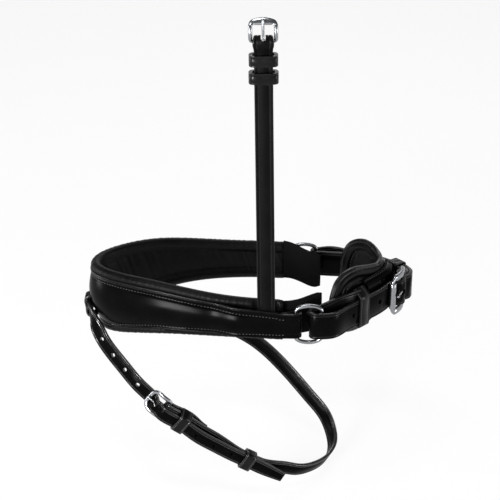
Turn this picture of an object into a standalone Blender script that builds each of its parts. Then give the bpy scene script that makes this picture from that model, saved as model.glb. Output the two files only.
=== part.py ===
"""Flash noseband with a padded crank jaw piece, one cheek strap and a flash strap.

World frame: X runs from the horse's nose (-X) to its jaw (+X), Y from the near (left) side (-Y) to the
far side (+Y), Z up. The origin is the middle of the opening for the nose, level with the rings.
"""

import math
from collections import namedtuple

import bmesh
import bpy
import numpy as np
from mathutils import Matrix, Vector

mm = 0.001

# Leather, clearances and edges
GAP = 0.3 * mm
STRAP_THICK = 3.0 * mm
CHEEK_THICK = 2.8 * mm
FLASH_THICK = 2.8 * mm
EDGE_BEVEL = 0.5 * mm
LINING_THICK = 1.0 * mm

# Nose band
NOSE_CENTRE_X = 23 * mm
NOSE_REACH = 152 * mm
NOSE_HALF_WIDTH = 58.6 * mm
NOSE_LEAN = math.tan(math.radians(7))
BAND_END_HEIGHT = 22 * mm
RETURN_LENGTH = 13 * mm
PAD_END = 10.4 * mm
PANEL_THICK = 4.6 * mm
ROLL_RADIUS = 4.5 * mm
ROLL_INSET = 2.0 * mm
BAND_STATION = 11 * mm
RAISED_SHAPE = ((0.0, 0.0), (0.12, 0.0), (0.36, 1.0), (0.64, 1.0), (0.88, 0.0), (1.0, 0.0))
FILLER_SHAPE = ((0.18, 0.0), (0.37, 0.93), (0.63, 0.93), (0.82, 0.0))
# distance from the nose along the band, strap top, strap bottom, lining top, lining bottom, filler
BAND_HEIGHTS = (
    (0, 25.0, -23.5, 30.6, -31.0, 4.0),
    (25, 25.3, -20.6, 31.0, -27.0, 3.9),
    (50, 25.4, -15.5, 31.4, -21.4, 3.7),
    (68, 24.6, -12.0, 30.9, -18.0, 3.4),
    (90, 22.5, -10.4, 28.6, -15.3, 3.0),
    (111, 19.6, -9.8, 25.8, -14.2, 2.6),
    (136, 16.8, -9.8, 23.0, -14.0, 2.1),
    (164, 13.6, -10.6, 21.2, -14.8, 1.3),
    (175, 12.2, -11.0, 20.6, -15.4, 0.9),
    (190, 11.0, -11.0, 20.0, -15.6, 0.6),
)
FILLER_END = NOSE_REACH + 20 * mm
FILLER_STOP = FILLER_END - 16 * mm
BAND_PLAIN = FILLER_END - 2 * mm
BAND_NARROWING = 14 * mm
LINING_TUCK = 4.0 * mm

# Rings and the flaps behind them
RING_WIRE = 1.9 * mm
RING_WIDTH = 21.2 * mm
RING_BAR = 23.4 * mm
RING_CROWN = 4.4 * mm
RING_Y = NOSE_HALF_WIDTH + STRAP_THICK + GAP - RING_WIRE
RING_X = 37.4 * mm
GUARD_THICK = 2.0 * mm
GUARD_LEAVE = 1.3 * mm
GUARD_SINK = 1.7 * mm
GUARD_REACH = 35.5 * mm
GUARD_INTURN = 16.7 * mm
GUARD_FRONT = (-12.8 * mm, 19.5 * mm)
GUARD_MIDDLE = (-16.0 * mm, 22.5 * mm)
GUARD_REAR = (-15.6 * mm, 19.6 * mm)

# Flash tab on the front of the nose
TAB_WIDTH = 16 * mm
TAB_THICK = 1.6 * mm
TAB_TOP = -3.6 * mm
TAB_BOTTOM = -21.6 * mm
TAB_FOOT = 5.0 * mm
TAB_PLAY = 0.6 * mm

# Cheek strap
CHEEK_WIDTH = 14.5 * mm
CHEEK_X = 13.1 * mm
CHEEK_LEAN = math.radians(0.84)
CHEEK_SEWN_DEPTH = 16 * mm
CHEEK_FOLD_Z = 24.5 * mm
CHEEK_BAR_Z = 241.6 * mm
CHEEK_RETURN = 40.5 * mm
CHEEK_SKIVE = 0.3 * mm
CHEEK_KEEPER_ROOM = 4.9 * mm
KEEPER_WALL = 1.8 * mm
KEEPER_LENGTH = 10.6 * mm
CHEEK_KEEPER_SIDE = 1.6 * mm
CHEEK_KEEPER_Z = 226.0 * mm
CHEEK_SLIDER_Z = 212.2 * mm

# Buckles: width and length between the centres of the bars, and the bars' own radii
CHEEK_BUCKLE = dict(width=19.4 * mm, length=17.0 * mm, bar=1.45 * mm, side=1.45 * mm, outer=1.45 * mm,
                    arch=2.2 * mm, corner=4.0 * mm, tongue=1.15 * mm)
CRANK_BUCKLE = dict(width=29.6 * mm, length=26.0 * mm, bar=1.7 * mm, side=1.9 * mm, outer=1.5 * mm,
                    arch=3.2 * mm, corner=3.5 * mm, tongue=1.4 * mm)
FLASH_BUCKLE = dict(width=18.4 * mm, length=17.0 * mm, bar=1.3 * mm, side=1.3 * mm, outer=1.3 * mm,
                    arch=1.8 * mm, corner=4.0 * mm, tongue=1.0 * mm)
TONGUE_PLAY = 0.2 * mm
SLOT_PLAY = 0.7 * mm

# Jaw pad: its middle line seen from above, from the far end to the near end
JAW_LINE = ((81.5, 44.6), (92.5, 41.6), (102, 36), (108.3, 28), (111, 19), (110.5, 9.5), (106.5, 0.5),
            (100.5, -7.5), (92.5, -17), (84, -27.5), (75, -36.5), (67.4, -42.9))
PAD_FOAM = 5.2 * mm
PAD_BACKING = 1.6 * mm
PAD_FACING = 1.2 * mm
PIPING_RADIUS = 2.4 * mm
PAD_TILT = 2.2 * mm
# distance from an end of the pad, top, bottom
PAD_HEIGHTS = ((0, 12, -4), (3.5, 22, -12.5), (9, 28.3, -18), (18, 31.4, -21.6), (30, 30.8, -24),
               (45, 27.2, -23.5), (62, 23.8, -18))
SLEEVE_START = 43 * mm
SLEEVE_WALL = 1.6 * mm
SLEEVE_LEG = 2.6 * mm
SLEEVE_PLAY = 0.6 * mm
BEND_EASE = 0.7 * mm

# Crank strap: chape at the buckle, out to the far ring, inside round the pad, near ring, billet, tip
CRANK_WIDTH = 22 * mm
CRANK_RISE = 6.0 * mm
CRANK_RISE_FROM = 23 * mm
CRANK_RISE_RUN = 18 * mm
CRANK_HOLE = 2.2 * mm
CRANK_HOLE_PITCH = 17 * mm
CRANK_HOLES = (-4, -3, -2, -1, 1)
CRANK_CHAPE = 30 * mm
CRANK_TIP = 33 * mm
CRANK_ROUNDING = 10 * mm
CRANK_OUTER = ((134.8, 24, -1.6), (130, 36, -2.8), (121, 46, -2.8), (108, 53, -2.0), (95, 57.5, -1.0),
               (83, 62.5, -0.3), (73.5, 66, 0), (65, 65.3, 0))
CRANK_NEAR_BULGE = ((67.5, -62.3), (79, -50.6))
CRANK_BEFORE_ROLLER = (108.0, -19.5)
CRANK_KEEPER_AT = 23 * mm
CRANK_KEEPER_LENGTH = 8.5 * mm
CRANK_KEEPER_WALL = 1.6 * mm
CRANK_REAR_KEEPER_AT = 20 * mm
ROLLER_RADIUS = 2.9 * mm
ROLLER_LENGTH = 23.4 * mm
ROLLER_PLAY = 0.2 * mm
ROLLER_AT = (121.0, -9.0)
HINGE_TURN = math.radians(68.2)

# Flash strap: chape at the buckle, under its own billet, round the far side to the tab, near side, tip
FLASH_WIDTH = 12.7 * mm
FLASH_FITS_REACH = 152 * mm
FLASH_HOLE = 1.7 * mm
FLASH_ACROSS = (0.515, 0.0, 0.857)
FLASH_TWIST_RUN = 45 * mm
FLASH_LEVEL = (10 * mm, 45 * mm)
FLASH_KEEPER_LENGTH = 8.0 * mm
FLASH_KEEPER_WALL = 1.5 * mm
FLASH_FAR = ((28, -52, -143.4), (41, -46, -149.5), (53.5, -36.5, -153), (67, -20, -154.5),
             (73.5, -3, -151.5), (72.5, 11.5, -145), (67, 23, -135.5), (55.5, 32, -124), (44, 41, -113.5),
             (25.5, 51.5, -96), (4, 59, -79), (-20, 62.5, -67), (-48, 61.5, -57.5), (-75, 55, -49),
             (-98, 46, -41), (-115, 35, -33), (-127, 24.5, -24))
FLASH_NEAR = ((-126.2, -24.5, -30), (-114.8, -34.5, -43.2), (-104.8, -42, -52.8), (-94.5, -49, -62.6))
FLASH_OUTER_BAR = (-84.0, -55.0, -71.3)
FLASH_BILLET_LOW = 1.1 * mm
FLASH_CHAPE_HIGH = 1.1 * mm
FLASH_RUN = (0.749, -0.272, -0.603)
FLASH_BILLET = ((-57.5, -64.0, -93.2), (-45.5, -65.6, -102.4), (-30.5, -65.8, -112.2),
                (-16, -65.2, -121.3), (-1, -63.8, -130.2), (14, -62.2, -139.4), (28, -61, -147.5))
FLASH_CHAPE = 31 * mm
FLASH_SAG = ((5, 0.4), (12, 0.7), (22, 1.0), (37, 3.0), (53, 3.6), (67, 1.8), (79, 0.2), (89, 0.2), (100, 1.0))
FLASH_HOLES_NEAR = (35.5, 52.5, 68.5, 85)
FLASH_HOLES_FAR = (32.5, 51, 68.5)
FLASH_KEEPER_AT = 17 * mm
FLASH_SLIDER_AT = 84 * mm
FLASH_SLIDER_PLAY = 0.2 * mm
FLASH_TAPER = 24 * mm
FLASH_TIP_WIDTH = 9.0 * mm

BLACK_LEATHER = (0.012, 0.012, 0.013, 1.0)
SOFT_LEATHER = (0.016, 0.016, 0.017, 1.0)
FOAM_GREY = (0.05, 0.05, 0.055, 1.0)
POLISHED_STEEL = (0.78, 0.79, 0.80, 1.0)

Frame = namedtuple("Frame", "origin along across out")
UP = Vector((0, 0, 1))


def at(frame, u=0.0, v=0.0, w=0.0):
    """The point u outwards, v across the strap and w along it from a frame's origin."""
    return frame.origin + frame.out * u + frame.across * v + frame.along * w


def moved(frame, u=0.0, v=0.0, w=0.0):
    return frame._replace(origin=at(frame, u, v, w))


def smooth_table(knots, values, wanted):
    """Natural cubic spline through values given at knots, read at the wanted places."""
    knots = np.asarray(knots, float)
    values = np.asarray(values, float)
    count = len(knots)
    step = np.diff(knots)
    matrix = np.eye(count)
    right = np.zeros_like(values)
    for i in range(1, count - 1):
        matrix[i, i - 1] = step[i - 1]
        matrix[i, i] = 2 * (step[i - 1] + step[i])
        matrix[i, i + 1] = step[i]
        right[i] = 6 * ((values[i + 1] - values[i]) / step[i] - (values[i] - values[i - 1]) / step[i - 1])
    bend = np.linalg.solve(matrix, right)
    wanted = np.clip(np.asarray(wanted, float), knots[0], knots[-1])
    left = np.clip(np.searchsorted(knots, wanted) - 1, 0, count - 2)
    width = step[left]
    a = (knots[left + 1] - wanted) / width
    b = (wanted - knots[left]) / width
    if values.ndim > 1:
        a, b, width = a[:, None], b[:, None], width[:, None]
    return (a * values[left] + b * values[left + 1]
            + ((a ** 3 - a) * bend[left] + (b ** 3 - b) * bend[left + 1]) * width ** 2 / 6)


class Route:
    """A smooth line through chosen points, read by its length from the start."""

    SPACING = 0.25 * mm

    def __init__(self, points, across=lambda point: UP):
        points = np.array([tuple(point) for point in points])
        chords = np.concatenate([[0], np.cumsum(np.linalg.norm(np.diff(points, axis=0), axis=1))])
        fine = np.linspace(0, chords[-1], int(chords[-1] / self.SPACING))
        self.samples = smooth_table(chords, points, fine)
        runs = np.linalg.norm(np.diff(self.samples, axis=0), axis=1)
        self.lengths = np.concatenate([[0], np.cumsum(runs)])
        self.total = float(self.lengths[-1])
        self.across = across

    def point(self, length):
        return Vector([float(np.interp(length, self.lengths, self.samples[:, i])) for i in range(3)])

    def nearest(self, point):
        distance = np.linalg.norm(self.samples - np.array(tuple(point)), axis=1)
        return float(self.lengths[int(np.argmin(distance))])

    def frame(self, length):
        step = 2 * self.SPACING
        low = max(0.0, min(length - step, self.total - 2 * step))
        along = (self.point(low + 2 * step) - self.point(low)).normalized()
        origin = self.point(length)
        across = self.across(origin)
        across = (across - along * across.dot(along)).normalized()
        return Frame(origin, along, across, across.cross(along))

    def stations(self, start, end, longest=7 * mm, sharpest=math.radians(13)):
        """Places between start and end, closer together where the line bends."""
        places = [start]
        last = self.frame(start)
        length = start
        while length < end:
            length = min(length + 2 * self.SPACING, end)
            here = self.frame(length)
            if length - places[-1] >= longest or here.along.angle(last.along) >= sharpest:
                places.append(length)
                last = here
        if end - places[-1] > 0.8 * mm:
            places.append(end)
        else:
            places[-1] = end
        return places


def material(name, color, roughness, metallic=0.0):
    made = bpy.data.materials.new(name)
    made.use_nodes = True
    shader = made.node_tree.nodes["Principled BSDF"]
    shader.inputs["Base Color"].default_value = color
    shader.inputs["Roughness"].default_value = roughness
    shader.inputs["Metallic"].default_value = metallic
    return made


def leather(name):
    return material(name + "_leather", BLACK_LEATHER, 0.38)


def soft_leather(name):
    return material(name + "_soft_leather", SOFT_LEATHER, 0.55)


def foam(name):
    return material(name + "_foam", FOAM_GREY, 0.9)


def steel(name):
    return material(name + "_steel", POLISHED_STEEL, 0.18, 1.0)


def finish(mesh, name, finish_material, origin=None, smooth_angle=35):
    """Turn a bmesh in world coordinates into an object whose origin is the given point."""
    bmesh.ops.recalc_face_normals(mesh, faces=mesh.faces)
    if origin is not None:
        bmesh.ops.translate(mesh, verts=mesh.verts, vec=-Vector(origin))
    data = bpy.data.meshes.new(name)
    mesh.to_mesh(data)
    mesh.free()
    data.materials.append(finish_material)
    data.shade_smooth()
    data.set_sharp_from_angle(angle=math.radians(smooth_angle))
    made = bpy.data.objects.new(name, data)
    if origin is not None:
        made.location = origin
    bpy.context.scene.collection.objects.link(made)
    return made


def loft(name, rings, finish_material, closed=False, origin=None):
    """Join outlines with equal point counts into one closed solid."""
    mesh = bmesh.new()
    loops = [[mesh.verts.new(point) for point in ring] for ring in rings]
    pairs = list(zip(loops, loops[1:]))
    if closed:
        pairs.append((loops[-1], loops[0]))
    for low, high in pairs:
        for i in range(len(low)):
            j = (i + 1) % len(low)
            mesh.faces.new((low[i], low[j], high[j], high[i]))
    if not closed:
        mesh.faces.new(loops[0])
        mesh.faces.new(loops[-1])
    return finish(mesh, name, finish_material, origin)


def placed(frames, outlines):
    return [[at(frame, u, v) for u, v in outline] for frame, outline in zip(frames, outlines)]


def strap_outline(thick, width, middle=0.0, bevel=EDGE_BEVEL):
    """A strap's cut end: a rectangle with its four edges taken off."""
    u, v = thick / 2, width / 2
    corners = ((-u, -v + bevel), (-u + bevel, -v), (u - bevel, -v), (u, -v + bevel),
               (u, v - bevel), (u - bevel, v), (-u + bevel, v), (-u, v - bevel))
    return [(a, b + middle) for a, b in corners]


def round_outline(radius, sides):
    turn = 2 * math.pi / sides
    return [(radius * math.cos(turn * i), radius * math.sin(turn * i)) for i in range(sides)]


def arc(centre, radius, start, end, count, first, second):
    """Points on an arc in the plane of two directions, angles in degrees."""
    points = []
    for i in range(count):
        angle = math.radians(start + (end - start) * i / (count - 1))
        points.append(centre + first * (radius * math.cos(angle)) + second * (radius * math.sin(angle)))
    return points


def cut(target, cutter):
    cutter.hide_render = True
    cutter.display_type = "WIRE"
    boolean = target.modifiers.new("Cut", "BOOLEAN")
    boolean.operation = "DIFFERENCE"
    boolean.solver = "EXACT"
    boolean.object = cutter


def drill(target, start, end, radius, sides=12):
    """Cut a round hole between two points."""
    start, end = Vector(start), Vector(end)
    axis = (end - start).normalized()
    side = axis.orthogonal().normalized()
    frame = Frame(start, axis, side, side.cross(axis))
    rings = placed([frame, frame._replace(origin=end)], [round_outline(radius, sides)] * 2)
    cut(target, loft(target.name + "_hole", rings, leather("cutter")))


def notch(target, frame, u_range, v_range, w_range):
    """Cut a box given in a frame's own directions."""
    rings = []
    for w in w_range:
        rings.append([at(frame, u, v, w) for u, v in
                      ((u_range[0], v_range[0]), (u_range[1], v_range[0]),
                       (u_range[1], v_range[1]), (u_range[0], v_range[1]))])
    cut(target, loft(target.name + "_notch", rings, leather("cutter")))


def keeper(name, frame, corners, wall, length, finish_material, origin=None):
    """A leather loop round a strap: the inner corners as (u, v), anticlockwise, and its wall."""
    inner, outer = [], []
    for index, corner in enumerate(corners):
        corner = Vector(corner)
        before = (Vector(corners[index - 1]) - corner).normalized()
        after = (Vector(corners[(index + 1) % 4]) - corner).normalized()
        soften = 1.0 * mm
        inner += [corner + before * soften, corner + (before + after) * soften * 0.3, corner + after * soften]
        away = (-(before + after)).normalized() * wall * 1.35
        round_off = wall * 0.9
        outer += [corner + away + before * round_off, corner + away * 0.87,
                  corner + away + after * round_off]
    mesh = bmesh.new()
    loops = []
    for w, points in ((-length / 2, inner), (-length / 2, outer), (length / 2, outer), (length / 2, inner)):
        loops.append([mesh.verts.new(at(frame, p.x, p.y, w)) for p in points])
    for low, high in zip(loops, loops[1:] + loops[:1]):
        for i in range(len(low)):
            j = (i + 1) % len(low)
            mesh.faces.new((low[i], low[j], high[j], high[i]))
    return finish(mesh, name, finish_material, origin)


# A buckle's own frame: origin on the hinge bar, "along" towards the outer bar, "across" the strap, "out"
# away from the horse.

def buckle_height(size, w):
    """How far the buckle's side stands out at a distance from the hinge bar."""
    return size["arch"] * math.sin(math.pi * max(0.0, min(1.0, w / size["length"])))


def buckle_frame(name, frame, size, finish_material):
    """One closed bar: straight hinge bar, two arched sides and the outer bar."""
    half, length, corner = size["width"] / 2, size["length"], size["corner"]
    small = size["bar"] * 1.15
    route = [(-half + small, 0.0), (half - small, 0.0)]
    route += [(half - small + small * math.sin(a), small - small * math.cos(a))
              for a in (math.pi / 4, math.pi / 2)]
    route += [(half, length * share) for share in (0.3, 0.45, 0.6)]
    route += [(half - corner + corner * math.cos(a), length - corner + corner * math.sin(a))
              for a in np.linspace(0, math.pi / 2, 5)]
    mirrored = [(-v, w) for v, w in reversed(route[2:])]
    route = route + mirrored
    points = [at(frame, buckle_height(size, w), v, w) for v, w in route]
    rings = []
    for i, point in enumerate(points):
        ahead = points[(i + 1) % len(points)]
        behind = points[i - 1]
        along = (ahead - behind).normalized()
        out = (frame.out - along * frame.out.dot(along)).normalized()
        w = route[i][1]
        radius = size["bar"] if w < small * 0.2 else (size["outer"] if w > length * 0.93 else size["side"])
        local = Frame(point, along, along.cross(out), out)
        rings.append([at(local, u, v) for u, v in round_outline(radius, 10)])
    return loft(name, rings, finish_material, closed=True, origin=frame.origin)


def buckle_tongue(name, frame, size, rest, finish_material):
    """A bent wire: a hook round the hinge bar, then a shaft that lies on the outer bar."""
    wire = size["tongue"]
    turn = size["bar"] + TONGUE_PLAY + wire
    hook = arc(frame.origin, turn, 235, 90, 9, frame.along, frame.out)
    tip_u = buckle_height(size, size["length"]) + rest + TONGUE_PLAY + wire
    shaft = [at(frame, turn + (tip_u - turn) * share, 0, size["length"] * share) for share in
             (0.2, 0.45, 0.7, 0.92)]
    tip = [at(frame, tip_u, 0, size["length"] + rest * 0.5), at(frame, tip_u - wire * 0.3, 0,
                                                               size["length"] + rest + wire)]
    points = hook + shaft + tip
    rings = []
    for i, point in enumerate(points):
        along = (points[min(i + 1, len(points) - 1)] - points[max(i - 1, 0)]).normalized()
        local = Frame(point, along, frame.across, frame.across.cross(along))
        width = wire * (1.0 if i < len(points) - 1 else 0.45)
        rings.append([at(local, u, v) for u, v in round_outline(width, 8)])
    return loft(name, rings, finish_material, origin=frame.origin)


def tongue_path(frame, size, rest):
    """The two ends of the line that the tongue's shaft follows."""
    turn = size["bar"] + TONGUE_PLAY + size["tongue"]
    tip = buckle_height(size, size["length"]) + rest + TONGUE_PLAY + size["tongue"]
    return at(frame, turn, 0, 0), at(frame, tip, 0, size["length"])


# Nose band

def nose_across(point):
    """Up, leaning out at the front of the nose and upright at the sides."""
    x = (NOSE_CENTRE_X - point.x) / NOSE_REACH
    forward = max(0.0, min(1.0, x)) ** 4
    return (UP + Vector((-1, 0, 0)) * NOSE_LEAN * forward).normalized()


def ellipse_point(angle):
    """A point of the band's inner line, from -90 degrees (near) through 0 (front) to 90 (far)."""
    return Vector((NOSE_CENTRE_X - NOSE_REACH * math.cos(angle), NOSE_HALF_WIDTH * math.sin(angle), 0))


def nose_line():
    """The line where strap and lining meet, from the near ring round the nose to the far ring."""
    points = [Vector((RING_X + 6 * mm, -NOSE_HALF_WIDTH, 0)), Vector((RING_X - 5 * mm, -NOSE_HALF_WIDTH, 0))]
    for degrees in range(-90, 91, 6):
        points.append(ellipse_point(math.radians(degrees)))
    points += [Vector((p.x, -p.y, 0)) for p in reversed(points[:2])]
    return Route(points, nose_across)


def band_value(column, distance):
    knots = [row[0] * mm for row in BAND_HEIGHTS]
    values = [row[column] * mm for row in BAND_HEIGHTS]
    return float(smooth_table(knots, values, [abs(distance)])[0])


def cheek_room(point):
    """How far the strap stands off the lining where the cheek strap and the strap's end lie between."""
    share = max(0.0, min(1.0, (point.x + 32 * mm) / (25 * mm)))
    blend = share * share * (3 - 2 * share)
    return blend * (STRAP_THICK + GAP + blend * max(0.0, NOSE_HALF_WIDTH - abs(point.y)))


def band_end_points():
    """The strap's near end: the sewn return, the turn round the ring's bar, and back outside."""
    turn = RING_WIRE + GAP + STRAP_THICK / 2
    centre = Vector((RING_X, -RING_Y, 0))
    pinched = -RING_Y - turn + STRAP_THICK + GAP
    points = [Vector((RING_X - RETURN_LENGTH, pinched, 0)),
              Vector((RING_X - RETURN_LENGTH * 0.55, pinched + 0.5 * mm, 0))]
    points += arc(centre, turn, 100, -90, 9, Vector((1, 0, 0)), Vector((0, 1, 0)))
    points.append(Vector((RING_X - 6 * mm, -RING_Y - turn, 0)))
    return points


def nose_strap_route(line):
    near = band_end_points()
    front = []
    start = line.nearest(Vector((NOSE_CENTRE_X, -NOSE_HALF_WIDTH, 0)))
    end = line.total / 2
    count = 17
    for i in range(count + 1):
        frame = line.frame(start + (end - start) * i / count)
        front.append(at(frame, GAP + STRAP_THICK / 2 + cheek_room(frame.origin)))
    half = near + front
    mirrored = [Vector((p.x, -p.y, p.z)) for p in reversed(half[:-1])]
    return Route(half + mirrored, nose_across)


def raised_outline(inner, thick, low, high, raised, bevel=EDGE_BEVEL):
    """A strap's outline whose middle stands out over a filler."""
    outer = [(inner + thick + raised * lift, low + (high - low) * share) for share, lift in RAISED_SHAPE]
    back = [(inner + raised * lift, low + (high - low) * share) for share, lift in reversed(RAISED_SHAPE)]
    outer[0] = (outer[0][0] - bevel, outer[0][1])
    outer[-1] = (outer[-1][0] - bevel, outer[-1][1])
    return outer + back


def band_places(line, reach):
    """The places along the band's line that all its layers share, out to a reach from the middle."""
    middle = line.total / 2
    half = line.stations(middle, middle + reach, longest=BAND_STATION, sharpest=math.radians(14))
    return [2 * middle - place for place in reversed(half[1:])] + half


def strap_place(line, route, place):
    """The length along the strap's own route that lies over a place on the band's line."""
    frame = line.frame(place)
    return route.nearest(at(frame, GAP + STRAP_THICK / 2 + cheek_room(frame.origin)))


def nose_strap(line, route):
    shared = [strap_place(line, route, place) for place in band_places(line, FILLER_END)]
    places = route.stations(0, shared[0], longest=BAND_STATION)[:-1] + shared
    places += route.stations(shared[-1], route.total, longest=BAND_STATION)[1:]
    frames, outlines = [], []
    for length in places:
        if shared[0] <= length <= shared[-1]:
            distance = abs(line.nearest(route.point(length)) - line.total / 2)
        else:
            distance = abs(length - route.total / 2)
        height = max(0.0, min(1.0, (distance - BAND_PLAIN) / BAND_NARROWING))
        low = band_value(2, distance) * (1 - height) - BAND_END_HEIGHT / 2 * height
        high = band_value(1, distance) * (1 - height) + BAND_END_HEIGHT / 2 * height
        raised = band_value(5, distance) if distance < FILLER_END else 0.0
        fade = max(0.0, min(1.0, (FILLER_END - distance) / (10 * mm)))
        frames.append(route.frame(length))
        outlines.append(raised_outline(-STRAP_THICK / 2, STRAP_THICK, low, high, raised * fade))
    loft("nose_strap", placed(frames, outlines), leather("nose_strap"))


def nose_filler(line, route):
    """The strip that raises the face of the nose strap."""
    frames, outlines = [], []
    for place in band_places(line, FILLER_END):
        distance = abs(place - line.total / 2)
        if distance > FILLER_STOP:
            continue
        low = band_value(2, distance)
        high = band_value(1, distance)
        raised = band_value(5, distance)
        base = -STRAP_THICK / 2
        frames.append(route.frame(strap_place(line, route, place)))
        outlines.append([(base + max(raised * lift - GAP, 0.0), low + (high - low) * share)
                         for share, lift in FILLER_SHAPE])
    loft("nose_raise_filler", placed(frames, outlines), foam("nose_raise_filler"))


def pad_path(distance, inset):
    """The lining's section from the strap's top edge over both rolls to its bottom edge."""
    strap_top, strap_bottom = band_value(1, distance), band_value(2, distance)
    top, bottom = band_value(3, distance), band_value(4, distance)
    upper, lower = top - ROLL_RADIUS, bottom + ROLL_RADIUS
    radius = ROLL_RADIUS - inset
    panel = -PANEL_THICK + inset
    outline = []
    for centre, edge, turn in ((upper, strap_top, 1), (lower, strap_bottom, -1)):
        sink = max(-0.85, min(0.3, turn * (edge + turn * 0.6 * mm - centre) / ROLL_RADIUS))
        start = math.degrees(math.asin(sink))
        angles = [start + (222 - start) * i / 6 for i in range(7)]
        points = [(-ROLL_INSET + radius * math.cos(math.radians(a)),
                   centre + turn * radius * math.sin(math.radians(a))) for a in angles]
        if turn < 0:
            points.reverse()
            outline.append((panel, lower + ROLL_RADIUS * 1.3))
            outline.append((panel, lower + ROLL_RADIUS))
            outline += points
        else:
            outline += points
            outline.append((panel, upper - ROLL_RADIUS))
            outline.append((panel, upper - ROLL_RADIUS * 1.3))
    return outline


def nose_lining(line):
    """The soft cover, open towards the strap, and the foam in it."""
    middle = line.total / 2
    end = line.nearest(Vector((RING_X - PAD_END, NOSE_HALF_WIDTH, 0))) - middle
    cover_frames, covers, foam_frames, foams = [], [], [], []
    shared = band_places(line, FILLER_END)
    for length in [middle - end] + shared + [middle + end]:
        distance = abs(length - middle)
        frame = line.frame(length)
        strap_top, strap_bottom = band_value(1, distance), band_value(2, distance)
        outer = pad_path(distance, 0.0)
        inner = pad_path(distance, LINING_THICK)[1:-1]
        cover = ([(-GAP, strap_top - LINING_TUCK), (-GAP, strap_top + 1.5 * GAP)] + outer
                 + [(-GAP, strap_bottom - 1.5 * GAP), (-GAP, strap_bottom + LINING_TUCK)]
                 + [(-GAP - LINING_THICK, strap_bottom + LINING_TUCK),
                    (-GAP - LINING_THICK, strap_bottom + 0.4 * mm)]
                 + list(reversed(inner))
                 + [(-GAP - LINING_THICK, strap_top - 0.4 * mm), (-GAP - LINING_THICK, strap_top - LINING_TUCK)])
        cover_frames.append(frame)
        covers.append(cover)
        foam_frames.append(frame)
        core = pad_path(distance, LINING_THICK + 2 * GAP)
        face = -GAP * 2 - LINING_THICK
        foams.append([(face, strap_top + GAP)] + core[1:-1] + [(face, strap_bottom - GAP)])
    cover = loft("nose_lining", placed(cover_frames, covers), soft_leather("nose_lining"))
    core = loft("nose_pad_foam", placed(foam_frames[1:-1], foams[1:-1]), foam("nose_pad_foam"))
    return cover, core


def ring_guard(name, side):
    """A flat flap of lining leather behind the ring, turned in along the horse's cheek."""
    slope = math.asin(GUARD_INTURN / GUARD_REACH)
    start = Vector((RING_X - PAD_END + GUARD_LEAVE + GUARD_THICK * math.sin(slope), -RING_Y + GUARD_SINK, 0))
    along = Vector((math.cos(slope), math.sin(slope), 0))
    frame = Frame(start, along, UP, UP.cross(along))
    rings = []
    for share, (low, high) in ((0.0, GUARD_FRONT), (0.5, GUARD_MIDDLE), (1.0, GUARD_REAR)):
        here = moved(frame, w=GUARD_REACH * share)
        rings.append([at(here, u, v) for u, v in
                      ((0, low), (GUARD_THICK, low), (GUARD_THICK, high), (0, high))])
    if side > 0:
        rings = [[Vector((p.x, -p.y, p.z)) for p in ring] for ring in rings]
    loft(name, rings, soft_leather(name))


def ring(name, side):
    """An oval ring with two straight bars; its origin is on the bar that the nose strap holds."""
    half_width, half_bar = RING_WIDTH / 2, RING_BAR / 2
    outline = [(half_width, -half_bar), (half_width, 0), (half_width, half_bar)]
    crown = [(half_width * math.cos(a), half_bar + RING_CROWN * math.sin(a))
             for a in np.linspace(0, math.pi, 11)[1:-1]]
    outline += crown
    outline += [(-x, -z) for x, z in outline]
    centre = Vector((RING_X + half_width, side * RING_Y, 0))
    points = [centre + Vector((x, 0, z)) for x, z in outline]
    rings = []
    for i, point in enumerate(points):
        along = (points[(i + 1) % len(points)] - points[i - 1]).normalized()
        local = Frame(point, along, Vector((0, 1, 0)), Vector((0, 1, 0)).cross(along))
        rings.append([at(local, u, v) for u, v in round_outline(RING_WIRE, 10)])
    return loft(name, rings, steel(name), closed=True, origin=Vector((RING_X, side * RING_Y, 0)))


def tab_face(line, v):
    """How far the strap's face stands out from the band's line at a height on the front."""
    high, low, raised = band_value(1, 0), band_value(2, 0), band_value(5, 0)
    share = (v - low) / (high - low)
    lift = float(np.interp(share, [row[0] for row in RAISED_SHAPE], [row[1] for row in RAISED_SHAPE]))
    return GAP + STRAP_THICK + raised * lift


def flash_tab(line):
    """A leather loop sewn to the front of the band; the flash strap runs through it."""
    middle = line.total / 2
    room = FLASH_THICK + 2 * TAB_PLAY
    base = tab_face(line, TAB_TOP - TAB_FOOT / 2) + GAP
    outer = base + room + TAB_THICK
    top, bottom = TAB_TOP, TAB_BOTTOM
    face_top = tab_face(line, top + TAB_FOOT) + GAP
    path = [(face_top, top + TAB_FOOT + TAB_THICK), (face_top + TAB_THICK, top + TAB_FOOT + TAB_THICK),
            (face_top + TAB_THICK, top + TAB_THICK * 1.6), (outer - TAB_THICK, top + TAB_THICK),
            (outer, top - TAB_THICK * 0.6),
            (outer, bottom + TAB_THICK * 0.6), (outer - TAB_THICK, bottom - TAB_THICK),
            (GAP + STRAP_THICK + GAP + TAB_THICK, bottom - TAB_THICK * 0.6),
            (GAP + STRAP_THICK + GAP, bottom - TAB_THICK * 0.6),
            (GAP + STRAP_THICK + GAP, bottom),
            (base + 0.6 * mm, bottom), (outer - TAB_THICK - 0.6 * mm, bottom),
            (outer - TAB_THICK, bottom + TAB_THICK * 0.6),
            (outer - TAB_THICK, top - TAB_THICK * 0.6), (outer - TAB_THICK - 0.6 * mm, top),
            (face_top, top)]
    frames = [line.frame(middle + TAB_WIDTH * share) for share in (-0.5, -0.25, 0.0, 0.25, 0.5)]
    loft("flash_tab", placed(frames, [path] * len(frames)), leather("flash_tab"))
    return base + room / 2


# Cheek strap

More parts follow.
